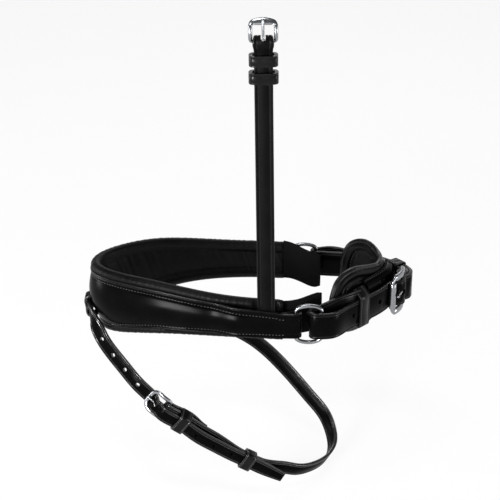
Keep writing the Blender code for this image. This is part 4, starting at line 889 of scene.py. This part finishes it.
def cheekFrame(height):
    sine, cosine = math.sin(cheek["lean"]), math.cos(cheek["lean"])
    layer = -noseBand["ringY"] - noseBand["ringWire"] + bridle["cheek"] / 2
    rise = (height - cheek["foldZ"]) / cosine
    return {"at": np.array((noseBand["cheekX"] - sine * rise, layer, height)),
            "along": np.array((-sine, 0, cosine)), "across": np.array((cosine, 0, sine)),
            "out": np.array((0, -1.0, 0))}


def makeCheekStrap():
    half, size = bridle["cheek"] / 2, cheekBuckle
    fold, top = cheekFrame(cheek["foldZ"]), cheekFrame(cheek["barZ"])
    rise = float(np.linalg.norm(top["at"] - fold["at"]))
    turn, barOut = size["bar"] + gap + half, bridle["cheek"] + gap / 2
    hinge = moved(top, out=barOut)
    spots = [at(fold, 0, 0, w) for w in (-16 * mm, 0, rise * 0.3, rise * 0.6, rise - 26 * mm, rise - 12 * mm)]
    spots.append(at(fold, 0.1 * mm, 0, rise - 6 * mm))
    spots += arc(hinge["at"], turn, 200, 10, 9, hinge["out"], hinge["along"])
    spots += [at(fold, barOut + gap / 2 + out * mm, 0, rise - down)
              for out, down in ((0.3, 8 * mm), (0, 14 * mm), (-0.1, 27 * mm), (-0.1, cheek["turnBack"]))]
    line = makePath(spots, facing(fold["across"]))
    piece = strapBlank("cheekStrap", line["total"], cheek["width"], bridle["cheek"], 0.7 * mm, 1.6 * mm,
                       (2.8, 0.4, 0.35), creaseBack=True)
    over = nearest(line, at(hinge, 0, 0, turn))
    slotCut(piece, over - 7 * mm, over + 4.5 * mm, 2 * (size["tongue"] + 0.7 * mm))
    x, y, z = points(piece).T
    thin = 1 - 0.5 * ease((x - line["total"] + 7 * mm) / (7 * mm))       # its return's end is skived thin
    z = np.where(z < 0, z, -half + (z + half) * thin)
    away = np.abs(x - over)                 # clipped where it folds, spread beside the tongue's slot
    y = y * (1 - 0.1 * ease(1 - away / (3 * mm)) + 0.13 * hump(away, 6.5 * mm, 3.5 * mm))
    setPoints(piece, onPath(line, x, y, z * np.sign(line["out"][10] @ fold["out"])))
    smooth(piece, cheekLeather, 50, burnishedEdgeWithPaintedHighlight)
    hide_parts("cheek_strap", "cheek_strap_root")
    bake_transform(piece)
    back, front = -half + 0.3 * mm - gap, half + gap + bridle["cheek"] + cheek["room"]
    side = cheek["width"] / 2 + cheek["side"]
    makeKeeper("cheekKeeperFixed", "cheek_fixed_keeper", "cheek_strap", cheekFrame(cheek["keeperZ"]),
               inside(back, front, side), cheekKeeper)
    play = cheek["sliderPlay"]
    makeKeeper("cheekKeeperSliding", "cheek_sliding_keeper", "cheek_sliding_keeper",
               cheekFrame(cheek["sliderZ"]), inside(back - play, front, side + play), cheekKeeper)
    makeBuckle("cheekBuckle", "cheek_buckle", hinge, size, size["outer"])
    print("cheek strap, keepers and buckle made")


makeCheekStrap()


# Jaw pad: one cushion with a piped rim, hollowed a little inside the stitched rim

jaw = inMetres(
    # its middle line seen from above, far end to near end
    line=((81.5, 44.6, 0), (92.5, 41.6, 0), (102, 36, 0), (108.3, 28, 0), (111, 19, 0), (110.5, 9.5, 0),
          (106.5, 0.5, 0), (100.5, -7.5, 0), (92.5, -17, 0), (84, -27.5, 0), (75, -36.5, 0),
          (67.4, -42.9, 0)),
    # distance from an end, top, bottom
    heights=((0, 12, -4), (3.5, 22, -12.5), (9, 28.3, -18), (18, 31.4, -21.6), (30, 30.8, -24),
             (45, 27.2, -23.5), (62, 23.8, -18)),
    # distance in from the rim, outer face, inner face
    faces=((0, 0.0, 0.0), (0.5, 1.6, -1.6), (1.2, 2.5, -2.7), (2.4, 3.4, -4.0), (3.8, 3.9, -4.9),
           (5.2, 3.7, -4.9), (6.2, 2.7, -4.1), (6.9, 2.0, -2.9), (7.6, 3.2, -3.0), (8.4, 4.2, -3.6),
           (9.2, 4.1, -4.0), (10, 3.1, -4.3), (11.2, 3.3, -4.6), (17, 3.6, -5.0), (40, 3.7, -5.0)),
    stations=(0.8, 2.4, 5, 9, 14, 20, 27, 35, 44, 52, 59), middle=4, foam=5.2, backing=1.6, bendEase=0.7,
    tilt=2.2, farDrop=3.2, dropAt=36, dropRun=14, stepped=13, tallest=4.75, piping=2.4, pitch=2.8,
    thread=0.65, lengthWaves=((9, 0.12), (4.3, 0.05)), heightWaves=((11, 0.1),))
padMesh = {"segments": 220, "rings": 30, "rimRings": 0.6, "mostInward": 0.93, "leastStraight": 0.35}
jawLine = makePath(jaw["line"])


def padReach(length, column):
    fromEnd = np.minimum(length, jawLine["total"] - length)
    reach = smoothTable(jaw["heights"][:, 0], jaw["heights"][:, column], fromEnd)
    if column == 1:                                     # the far lobe falls away sooner
        reach = reach - jaw["farDrop"] * hump(length, jaw["dropAt"], jaw["dropRun"])
    return reach + jaw["tilt"] * (2 * length / jawLine["total"] - 1)


def padOutline():
    # X is the length along the pad and Y the height on it
    total, near = jawLine["total"], jaw["stations"]
    lengths = np.array([*near, total / 2, *(total - near[::-1])])
    return makePath([(x, padReach(x, 1), 0) for x in lengths]
                    + [(x, padReach(x, 2), 0) for x in lengths[::-1]], closed=True)


outline = padOutline()
outlineMiddle = np.array((jawLine["total"] / 2, jaw["middle"], 0))


def onPad(place, out):
    return onPath(jawLine, place[:, 0], place[:, 1], out)


def padFace(column, inset):
    return smoothTable(jaw["faces"][:, 0], jaw["faces"][:, column], inset)


def makeJawPad():
    piece = primitive(bpy.ops.mesh.primitive_uv_sphere_add, "jawPad", segments=padMesh["segments"],
                      ring_count=2 * padMesh["rings"], radius=1)
    x, y, z = points(piece).T
    length = (np.arctan2(y, x) / (2 * math.pi)) % 1.0 * outline["total"]
    step = np.abs(np.arcsin(np.clip(z, -1, 1))) / (math.pi / 2)          # 0 at the rim, 1 at the poles
    edge = onPath(outline, length)
    ray = outlineMiddle - edge
    straight = np.abs(np.sum(unit(ray) * unit(readPath(outline, "out", length)), axis=1))
    deep = np.linalg.norm(ray, axis=1) * np.maximum(straight, padMesh["leastStraight"])
    # rings close together at the rim, evenly on to where the stepping ends, and then straight to the middle
    rim, most, stepped = padMesh["rimRings"], padMesh["mostInward"], jaw["stepped"]
    hold = np.minimum(stepped / deep, most)
    nearRim = np.minimum(np.interp(step, (0, 0.06, rim), (0, 0.9 * mm, stepped)) / deep, most)
    share = np.where(step < rim, nearRim, hold + (1 - hold) * (step - rim) / (1 - rim))
    place, inset = edge + ray * share[:, None], deep * share
    waves = ripple(place[:, 0], jaw["lengthWaves"], 3) + ripple(place[:, 1], jaw["heightWaves"], 5)
    waves = waves * ease(inset / (6 * mm))
    outer, inner = np.minimum(padFace(1, inset) + waves * 0.4, jaw["tallest"]), padFace(2, inset) - waves
    setPoints(piece, onPad(place, np.where(np.abs(z) < 1e-4, 0, np.where(z > 0, outer, inner))))
    smooth(piece, liningLeather, 75)
    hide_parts("jaw_pad_foam", "jaw_pad_lining", "jaw_pad_backing")
    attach(piece, "jaw_piece")


def makePiping():
    def acrossAt(places):
        return np.stack([frameOf(jawLine, nearest(jawLine, (x, y, 0)))["out"] for x, y, _ in places])

    def flatten(share, a, b):
        # a groove along each side, and faint ribs round it
        turn = np.abs(np.arctan2(b, a))
        groove = 1 - 0.14 * sum(hump(turn, place, 0.16) for place in (0.75, 2.4))
        ribs = 1 + 0.015 * ripple(share * outline["total"], ((3.1 * mm, 1.0), (2.3 * mm, 0.7)), 1)
        return a * groove * ribs, b * groove * ribs
    rim = onPad(onPath(outline, np.linspace(0, outline["total"], 161)[:-1]), 0.0)
    piece = bar("jawPadPiping", makePath(rim, acrossAt, closed=True), jaw["piping"], 32, 1.0 * mm, flatten)
    # the piping takes the edges' material, whose lighter grey is a painted highlight on its ridges
    smooth(piece, burnishedEdgeWithPaintedHighlight, 75)
    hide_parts("jaw_pad_piping")
    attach(piece, "jaw_piece")


def makePadStitches():
    # a row inside the rim on each face
    lengths = np.linspace(0, outline["total"], 200)[:-1]
    edge, inward = onPath(outline, lengths), unit(readPath(outline, "out", lengths))
    inward *= np.sign(np.sum(inward * (outlineMiddle - edge), axis=1))[:, None]
    for name, inset, column, sign in (("padStitchesInner", 7.6 * mm, 2, -1),
                                      ("padStitchesOuter", 11.4 * mm, 1, 1)):
        row = makePath(onPad(edge + inward * inset, padFace(column, inset) + sign * 0.1 * mm), closed=True)
        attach(stitchRow(name, row, 0, row["total"], 0, 0, jaw["pitch"], jaw["thread"]), "jaw_piece")


makeJawPad()
makePiping()
makePadStitches()
print("jaw pad made")


# Jaw strap: chape at the buckle, out to the far ring, inside behind the pad, near ring, billet, tip

crank = {"hingeTurn": math.radians(68.2), "holes": (-4, -3, -2, -1, 1), **inMetres(
    width=23.2, chape=30, tip=33, hole=2.2, holePitch=17, tipRun=10,
    # above the pad's middle: how high, where it rises at each end and how fast, a hump near the end
    rise=6.0, riseFar=23, riseNear=-13, riseRun=18, humpRise=2.0, humpAt=8, humpRun=14,
    outer=((134.8, 24, -1.6), (130, 36, -2.8), (121, 46, -2.8), (108, 53, -2.0), (95, 57.5, -1.0),
           (83, 62.5, -0.3), (73.5, 66, 0), (65, 65.3, 0)),
    slack=5.2, loopTilt=2.0, nearBulge=((67.5, -62.3, 0), (79, -50.6, 0)),
    beforeRoller=(108.0, -19.5, 0),
    keeperAt=23, rearKeeperAt=27, rollerAt=(121.0, -9.0, 0), rollerRadius=2.9, rollerLength=24.0)}
crankKeeper = {"trim": burnishedEdgeWithPaintedHighlight, "crease": (1.6, 0.35, 0.22),
               **inMetres(wall=1.6, length=11.5, turn=2.4)}
rearKeeper = {**crankKeeper, **inMetres(wall=1.12, turn=2.6)}
crankBuckle = {**buckleDefaults, "flat": 0.55, "beyond": 0.12, **inMetres(
    width=31.4, length=26.0, bar=1.7, side=2.1, outer=1.5, arch=3.2, corner=4.0, tongue=1.5)}
sleeve = inMetres(farStart=43, nearEnd=32, wall=1.6, leg=2.6, pitch=2.8, thread=0.55)


def strapRise(length):
    # the strap lies above the pad's middle, most at the sleeve's near end
    left = jawLine["total"] - length
    ends = np.minimum(length - crank["riseFar"], left - crank["riseNear"])
    return (crank["rise"] * ease(ends / crank["riseRun"])
            + crank["humpRise"] * hump(left, crank["humpAt"], crank["humpRun"]))


def throughBuckle(buckle, size, outerRadius, thick, low=0.0):
    # the billet passes under the outer bar and over the hinge bar with its chape
    buckle = moved(buckle, across=-low)
    under, over = outerRadius + gap + thick / 2, size["bar"] + 3 * gap + thick * 1.5
    outer = at(buckle, 0, 0, size["length"])
    spots = [at(buckle, -under, 0, size["length"])]
    spots += arc(outer, under * 1.01, 246, 214, 3, buckle["along"], buckle["out"])
    spots += [at(buckle, under * 0.45, 0, size["length"] - under * 1.72),
              at(buckle, over * 0.76, 0, size["length"] - under * 2.6)]
    spots += arc(buckle["at"], over * 1.02, 42, 68, 2, buckle["along"], buckle["out"])
    return spots + [at(buckle, over)]


def crankHinge():
    toward = np.array((math.cos(crank["hingeTurn"]), math.sin(crank["hingeTurn"]), 0))
    up = np.array((0, 0, 1.0))
    return {"at": crank["rollerAt"] + toward * crankBuckle["length"], "along": -toward, "across": up,
            "out": np.cross(up, -toward)}


def crankPath(buckle):
    thick, total, keeperAt = bridle["strap"], jawLine["total"], crank["keeperAt"]
    layer, turn = thick + gap, crankBuckle["bar"] + gap + thick / 2
    ringTurn, rear = noseBand["ringWire"] + gap + thick / 2, noseBand["ringX"] + ring["width"]
    farBar, nearBar = (np.array((rear, side * noseBand["ringY"], 0)) for side in (1, -1))
    fold = arc(buckle["at"], turn, 180, 360, 7, buckle["out"], -buckle["along"])
    outside = makePath([*fold, *crank["outer"], farBar + (0, ringTurn, 0)])
    start = nearest(outside, at(buckle, turn))
    spots = [at(frameOf(outside, start + crank["chape"] * share), layer + extra * mm)
             for share, extra in ((1.0, 0.0), (0.7, 0.15), (0.42, 0.7))]
    spots += [*fold, *crank["outer"], *arc(farBar, ringTurn, 85, 275, 8, (1, 0, 0), (0, 1, 0)),
              farBar + (10.5 * mm, -ringTurn - 1.2 * mm, 0)]
    # inside: close to the pad's back under the sleeve, and off it beyond, where the keeper passes
    tight = jaw["foam"] / 2 + gap + jaw["backing"] + jaw["bendEase"] + thick / 2
    loose = tight + crankKeeper["wall"] + 2 * gap
    tightFrom, tightTo = sleeve["farStart"] - 3 * mm, total - sleeve["nearEnd"] + 3 * mm
    for place in (10 * mm, keeperAt, keeperAt + 8 * mm, *np.linspace(tightFrom, tightTo, 8),
                  total - keeperAt, total - 10 * mm):
        stand = tight if tightFrom - gap < place < tightTo + gap else loose
        spots.append(at(frameOf(jawLine, place), stand, strapRise(place)))
    # the loop on the near ring is slack, its inner leg higher
    loop = nearBar - (crank["slack"], 0, 0)
    tilt = crank["loopTilt"] * ease(np.linspace(1, -1, 7))
    spots += [p + (0, 0, z) for p, z in zip(arc(loop, ringTurn, 95, 265, 7, (1, 0, 0), (0, 1, 0)), tilt)]
    spots += [nearBar - (0, ringTurn + 0.2 * mm, 0), *crank["nearBulge"]]
    spots += [at(frameOf(jawLine, total - place), loose + layer + extra)
              for place, extra in ((keeperAt, 0.0), (keeperAt + 8 * mm, 0.5 * mm))]
    spots += [crank["beforeRoller"], *throughBuckle(buckle, crankBuckle, crank["rollerRadius"], thick)]
    spots += [at(frameOf(outside, start + crank["tip"] * share), -layer - gap / 2)
              for share in (0.14, 0.35, 0.6, 0.8, 1.0)]
    return makePath(spots), frameOf(outside, start + crank["rearKeeperAt"], -1)


def tongueCrossing(path, buckle, size, rest):
    # the length at which the tongue comes through the billet
    lengths = np.linspace(nearest(path, at(buckle, -rest - gap, 0, size["length"])), path["total"], 800)
    offset = onPath(path, lengths) - buckle["at"]
    out, along = offset @ buckle["out"], offset @ buckle["along"]
    turn, tip = tongueLift(size, rest)
    above = out - (turn + (tip - turn) * along / size["length"])
    between = (along > 0) & (along < size["length"])
    return float(lengths[np.argmin(np.where(between, np.abs(above), 1))])


def cutTongueSlots(piece, path, buckle, size, rest, thick, chape, billet, high=0.0):
    # one where the chape turns round the hinge bar, and one where the tongue comes through the billet
    turn = size["bar"] + gap + thick / 2
    apex, reach = nearest(path, at(buckle, 0, high, turn)), chape + math.pi / 2 * turn
    slotCut(piece, apex - reach, apex + reach, 2 * (size["tongue"] + 0.7 * mm))
    crossing = tongueCrossing(path, buckle, size, rest)
    slotCut(piece, crossing - billet, crossing + billet, 2 * (size["tongue"] + 0.6 * mm))


def makeCrankStrap():
    buckle, thick, size = crankHinge(), bridle["strap"], crankBuckle
    path, rear = crankPath(buckle)
    piece = strapBlank("jawStrap", path["total"], crank["width"], thick, 0.8 * mm, 1.8 * mm, (2.2, 0.45, 0.3),
                       creaseBack=True)
    cutTongueSlots(piece, path, buckle, size, crank["rollerRadius"], thick, 6.5 * mm, 4.4 * mm)
    firstHole = nearest(path, at(buckle, 2.6 * mm, 0, size["length"] * 0.42))
    punch(piece, [firstHole + k * crank["holePitch"] for k in crank["holes"]], crank["hole"])
    x, y, z = points(piece).T
    left = np.clip((path["total"] - x) / crank["tipRun"], 0, 1)          # a rounded tip
    setPoints(piece, onPath(path, x, y * (0.3 + 0.7 * np.sqrt(1 - (1 - left) ** 2)), z))
    smooth(piece, bridleLeather, 50, burnishedEdgeWithPaintedHighlight)
    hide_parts("crank_strap")
    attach(piece, "jaw_piece")
    place = jawLine["total"] - crank["keeperAt"]
    stand = jaw["foam"] / 2 + jaw["backing"] + 5 * gap + thick * 1.5 + crankKeeper["wall"]
    near = frameOf(path, nearest(path, at(frameOf(jawLine, place), stand)), -1)
    side, outer, inner = crank["width"] / 2 + 2 * gap, thick / 2 + gap, -thick * 1.5 - 2.2 * gap
    makeKeeper("jawStrapKeeper", "crank_keeper", "jaw_piece", near, (
        (inner, -side + 0.5 * mm), (outer, -side - 1 * mm), (outer, side + 0.5 * mm),
        (inner, side + strapRise(place) + gap)), crankKeeper)
    reach = thick * 1.5 + gap * 3
    makeKeeper("jawStrapRearKeeper", "crank_rear_keeper", "jaw_piece", rear,
               inside(-reach - gap, reach, side), rearKeeper)
    makeBuckle("jawBuckle", "crank_buckle", buckle, size, crank["rollerRadius"])
    makeRoller(buckle)
    print("jaw strap, keepers and buckle made")


def makeRoller(buckle):
    # a rolled steel sleeve, turned edges, free on the outer bar: a torus pressed out to a square section
    thin = 0.25
    piece = primitive(bpy.ops.mesh.primitive_torus_add, "jawBuckleRoller", major_radius=1,
                      minor_radius=thin, major_segments=40, minor_segments=24)
    x, y, z = points(piece).T
    turn, a, b = np.arctan2(y, x), (np.hypot(x, y) - 1) / thin, z / thin
    square = np.maximum(np.abs(a), np.abs(b)) ** 0.85
    a, b = np.clip(a / square, -1, 1), np.clip(b / square, -1, 1)
    bore, outer = crankBuckle["outer"] + crankBuckle["play"], crank["rollerRadius"]
    radius = (bore + outer) / 2 + a * (outer - bore) / 2
    setPoints(piece, at(moved(buckle, along=crankBuckle["length"]), radius * np.cos(turn),
                        b * crank["rollerLength"] / 2, radius * np.sin(turn)))
    smooth(piece, polishedSteel, 50)
    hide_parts("crank_buckle_roller")
    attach(piece, "crank_buckle_roller")


def makeSleeve():
    # a patch stitched down each side of the strap, on the pad's back
    base = jaw["foam"] / 2 + gap + jaw["backing"] + gap
    face = base + bridle["strap"] + 2 * jaw["bendEase"]
    side, wall = crank["width"] / 2 + 0.6 * mm, sleeve["wall"]
    start, end = sleeve["farStart"] + 0.8 * mm, jawLine["total"] - sleeve["nearEnd"] - 0.8 * mm
    width = 2 * (side + sleeve["leg"] + 1.2 * mm)
    piece = strapBlank("jawPadSleeve", end - start, width, wall, 0.4 * mm, 1.2 * mm)
    cutAcross(piece, np.linspace(-0.47, 0.47, 35) * width)
    x, y, z = points(piece).T
    out = base + wall / 2 + z + ease((side + 1.6 * mm - np.abs(y)) / (2.6 * mm)) * (face - base)
    setPoints(piece, onPath(jawLine, x + start, y + strapRise(x + start), out))
    smooth(piece, bridleLeather, 50)
    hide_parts("jaw_pad_sleeve")
    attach(piece, "jaw_piece")
    for name, sign in (("sleeveStitchesUpper", 1), ("sleeveStitchesLower", -1)):
        stitches = stitchRow(name, jawLine, start + 1 * mm, end - 1 * mm,
                             lambda length: strapRise(length) + sign * (side + sleeve["leg"]),
                             base + wall + 0.1 * mm, sleeve["pitch"], sleeve["thread"])
        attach(stitches, "jaw_piece")
    print("sleeve made")


makeCrankStrap()
makeSleeve()


# Flash strap: chape at its buckle, under its own billet, round the far side to the tab, near side, tip

flash = {"across": (0.515, 0.0, 0.857), "run": (0.749, -0.272, -0.603), **inMetres(
    width=12.7, chape=40, hole=1.7, taper=24, tipWidth=9.0, twistFrom=5, twistRun=36, level=10, levelRun=35,
    far=((28, -52, -143.4), (41, -46, -149.5), (53.5, -36.5, -153), (67, -20, -154.5), (73.5, -3, -151.5),
         (72.5, 11.5, -145), (67, 23, -135.5), (55.5, 32, -124), (44, 41, -113.5), (25.5, 51.5, -96),
         (4, 59, -79), (-20, 62.5, -67), (-48, 61.5, -57.5), (-75, 55, -49), (-98, 46, -41), (-115, 35, -33),
         (-127, 24.5, -24)),
    near=((-126.2, -24.5, -30), (-114.8, -34.5, -43.2), (-104.8, -42, -52.8), (-94.5, -49, -62.6)),
    outerBar=(-84.0, -55.0, -71.3), billetLow=1.1, chapeHigh=1.1,
    billet=((-57.5, -64.0, -93.2), (-45.5, -65.6, -102.4), (-30.5, -65.8, -112.2), (-16, -65.2, -121.3),
            (-1, -63.8, -130.2), (14, -62.2, -139.4), (28, -61, -147.5)),
    # distance from the hinge bar, how far the strap below hangs from the billet
    sag=((5, 0.4), (12, 0.7), (22, 1.0), (37, 3.0), (53, 3.6), (67, 1.8), (79, 0.2), (89, 0.2), (100, 1.0)),
    holesNear=(38.5, 55.5, 71.5, 88), holesFar=(36, 54, 71), keeperAt=19, sliderAt=86.5, sliderPlay=0.2)}
flashKeeper = {"trim": glazedEdgeWithPaintedHighlight, "crease": (1.3, 0.35, 0.22), **inMetres(wall=1.5, length=10.0, turn=1.6)}
flashBuckle = {**buckleDefaults, "flat": 0.25, **inMetres(
    width=18.4, length=17.0, bar=1.3, side=1.4, outer=1.5, arch=1.8, corner=6.0, tongue=1.0)}


def flashHinge():
    along = -unit(flash["run"])
    across = np.array(flash["across"])
    across = unit(across - along * (across @ along))
    return {"at": flash["outerBar"] - along * flashBuckle["length"], "along": along, "across": across,
            "out": np.cross(across, along)}


def flashPath(buckle, tabPoint):
    front, thick, tilt = frameOf(bandLine, bandMiddle), bridle["flash"], unit(flash["across"])

    def acrossAt(places):
        # it twists from the tab's width to its own, and to the buckle's on the near side
        fromTab = np.linalg.norm(places - tabPoint, axis=1)
        share = ease((fromTab - flash["twistFrom"]) / flash["twistRun"])[:, None]
        near = ease((-places[:, 1] - flash["level"]) / flash["levelRun"])[:, None]
        turned = tilt + (buckle["across"] - tilt) * near
        return unit(front["across"] + (turned - front["across"]) * share)

    layer, turn = thick + gap, flashBuckle["bar"] + gap + thick / 2
    billet = throughBuckle(buckle, flashBuckle, flashBuckle["outer"], thick, flash["billetLow"])
    billet += list(flash["billet"])
    top = makePath([flash["near"][-1], *billet], acrossAt)
    start = nearest(top, at(buckle, turn + layer))
    sagAt, sag = flash["sag"].T
    high = (flash["chapeHigh"] + flash["billetLow"]) * np.clip(2 - sagAt / flash["chape"], 0, 1)
    spots = []
    for share, room in ((1, 0.0), (0.86, 0.2), (0.66, 1.0), (0.46, 1.0)):     # it closes past the keeper
        place = flash["chape"] * share
        stand = 2 * layer + (flashKeeper["wall"] + 5 * gap) * room + np.interp(place, sagAt, sag)
        spots.append(at(frameOf(top, start + place), stand, np.interp(place, sagAt, high)))
    spots += arc(at(buckle, 0, flash["chapeHigh"]), turn, 180, 360, 7, buckle["out"], -buckle["along"])
    spots += [at(frameOf(top, start + place), layer + down, up) for place, down, up in zip(sagAt, sag, high)]
    spots += list(flash["far"])
    for share, drop in ((1.9, 3.0), (0.95, 0.3), (0.0, 0.0), (-0.95, 1.4), (-1.9, 6.0)):
        here = frameOf(bandLine, bandMiddle + tab["width"] / 2 * share)
        spots.append(at(here, tabStand + drop * 0.15 * mm, (tab["top"] + tab["bottom"]) / 2 - drop * mm))
    return makePath([*spots, *flash["near"], *billet], acrossAt)


def makeFlashStrap():
    buckle, thick, width, size = flashHinge(), bridle["flash"], flash["width"], flashBuckle
    tabPoint = at(frameOf(bandLine, bandMiddle), tabStand, (tab["top"] + tab["bottom"]) / 2)
    path = flashPath(buckle, tabPoint)
    piece = strapBlank("flashStrap", path["total"], width, thick, 0.7 * mm, 1.6 * mm, (1.9, 0.4, 0.3),
                       creaseBack=True)
    cutTongueSlots(piece, path, buckle, size, size["outer"], thick, 5 * mm, 3.4 * mm, flash["chapeHigh"])
    atTab, atBar = nearest(path, tabPoint), nearest(path, at(buckle, size["bar"] + 2 * gap + thick * 1.5))
    punch(piece, [*(atTab + flash["holesNear"]), *(atBar + flash["holesFar"])], flash["hole"])
    x, y, z = points(piece).T
    share = np.clip(1 - (path["total"] - x) / flash["taper"], 0, 1)
    y = y * (1 + (flash["tipWidth"] / width - 1) * share ** 1.5)
    z = np.where(z > 0, z, z * (0.2 + 0.8 * ease(x / (14 * mm))))         # the chape's end is skived thin
    setPoints(piece, onPath(path, x, y, z))
    smooth(piece, flashLeather, 50, glazedEdgeWithPaintedHighlight)
    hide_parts("flash_strap")
    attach(piece, "flash_strap")
    side, outer, inner = width / 2 + 1.5 * gap, thick / 2 + 2 * gap, -thick * 1.5 - 2 * gap - 1.2 * mm
    lean, play = (flash["chapeHigh"] + flash["billetLow"]) * 1.7, flash["sliderPlay"]
    makeKeeper("flashKeeperFixed", "flash_fixed_keeper", "flash_strap",
               frameOf(path, atBar + flash["keeperAt"], -1),
               ((inner, -side), (outer, -side), (outer, side), (inner, side + lean)), flashKeeper)
    inner = -thick * 1.5 - 4 * gap
    makeKeeper("flashKeeperSliding", "flash_sliding_keeper", "flash_sliding_keeper",
               frameOf(path, atBar + flash["sliderAt"], -1), inside(inner - play, outer + play, side + play),
               flashKeeper)
    makeBuckle("flashBuckle", "flash_buckle", buckle, size, size["outer"])
    print("flash strap, keepers and buckle made")


makeFlashStrap()


# Floor, light and camera

studio = {"floorZ": -0.1665, "floorWidth": 6.0, "wall": 1.3, "paper": "#f4f4f4", "whiteness": 0.88,
          "dome": 0.16, "target": (0.0, 0.0, 0.039), "elevation": 25.0, "distance": 1.300, "lens": 111.0}


def makeFloor():
    # a round paper floor with a low wall, open above
    floorZ, wall = studio["floorZ"], studio["wall"]
    floor = primitive(bpy.ops.mesh.primitive_cylinder_add, "studioFloor", vertices=96,
                      radius=studio["floorWidth"] / 2, depth=wall, location=(0, 0, floorZ + wall / 2))
    edit(floor, "FACE", lambda centres: centres[:, 2] > floorZ + wall * 0.9, bpy.ops.mesh.delete, type="FACE")
    made = bpy.data.materials.new("whitePaperFloor")
    made.use_nodes = True
    tree = made.node_tree
    tree.nodes.remove(tree.nodes["Principled BSDF"])
    paper = node(tree, "ShaderNodeBsdfDiffuse", Color=linear(studio["paper"]))
    white = node(tree, "ShaderNodeEmission", Color=(1, 1, 1, 1), Strength=1.0)
    # whiter for what the camera sees, also in metal and through glass, and not for the light on the object
    ray = node(tree, "ShaderNodeLightPath")
    rays = [(0, ray.outputs["Is Camera Ray"]), (1, ray.outputs["Is Glossy Ray"])]
    glossy = node(tree, "ShaderNodeMath", rays, operation="MAXIMUM")
    seen = node(tree, "ShaderNodeMath", [(0, glossy.outputs[0]), (1, ray.outputs["Is Transmission Ray"])],
                operation="MAXIMUM")
    share = node(tree, "ShaderNodeMath", [(0, seen.outputs[0])], operation="MULTIPLY")
    share.inputs[1].default_value = studio["whiteness"]
    mix = node(tree, "ShaderNodeMixShader",
               [(0, share.outputs[0]), (1, paper.outputs[0]), (2, white.outputs[0])])
    tree.links.new(mix.outputs[0], tree.nodes["Material Output"].inputs["Surface"])
    floor.data.materials.append(made)


def makeWorld():
    world = bpy.data.worlds.new("whiteStudio")
    bpy.context.scene.world = world
    world.use_nodes = True
    ground = world.node_tree.nodes["Background"]
    ground.inputs["Color"].default_value = (1, 1, 1, 1)
    ground.inputs["Strength"].default_value = studio["dome"]         # above the paper wall the studio is dim


lamps = (
    # name, place, size, power in watts: one low in front, one above the near side, one long one behind,
    # and a low upright one at each side for the lights on edges and keepers
    ("softBoxFront", (-0.58, -1.10, 0.19), (0.34, 0.34), 22.0),
    ("softBoxAbove", (-0.25, -0.45, 1.30), (0.6, 0.3), 7.0),
    ("softBoxBehind", (0.25, 1.05, 0.95), (1.0, 0.25), 7.0),
    ("softBoxRight", (1.25, -0.45, 0.12), (0.22, 0.54), 6.0),
    ("softBoxLeft", (-1.15, 0.10, 0.13), (0.22, 0.54), 5.5),
)


def makeLamps():
    for name, place, size, power in lamps:
        data = bpy.data.lights.new(name, "AREA")
        data.shape = "RECTANGLE"
        data.size, data.size_y = size
        data.energy = power
        lamp = bpy.data.objects.new(name, data)
        lamp.location = place
        lamp.rotation_euler = (Vector((0, 0, 0)) - Vector(place)).to_track_quat("-Z", "Y").to_euler()
        bpy.context.scene.collection.objects.link(lamp)


def makeCamera():
    data = bpy.data.cameras.new("camera")
    data.lens, data.sensor_width = studio["lens"], 36.0
    camera = bpy.data.objects.new("camera", data)
    angle = math.radians(studio["elevation"])
    back = Vector((0, -math.cos(angle), math.sin(angle)))
    camera.location = Vector(studio["target"]) + back * studio["distance"]
    camera.rotation_euler = (-back).to_track_quat("-Z", "Y").to_euler()
    bpy.context.scene.collection.objects.link(camera)
    bpy.context.scene.camera = camera


makeFloor()
makeWorld()
makeLamps()
makeCamera()
bpy.context.scene.view_settings.view_transform = "Standard"
print("studio made")
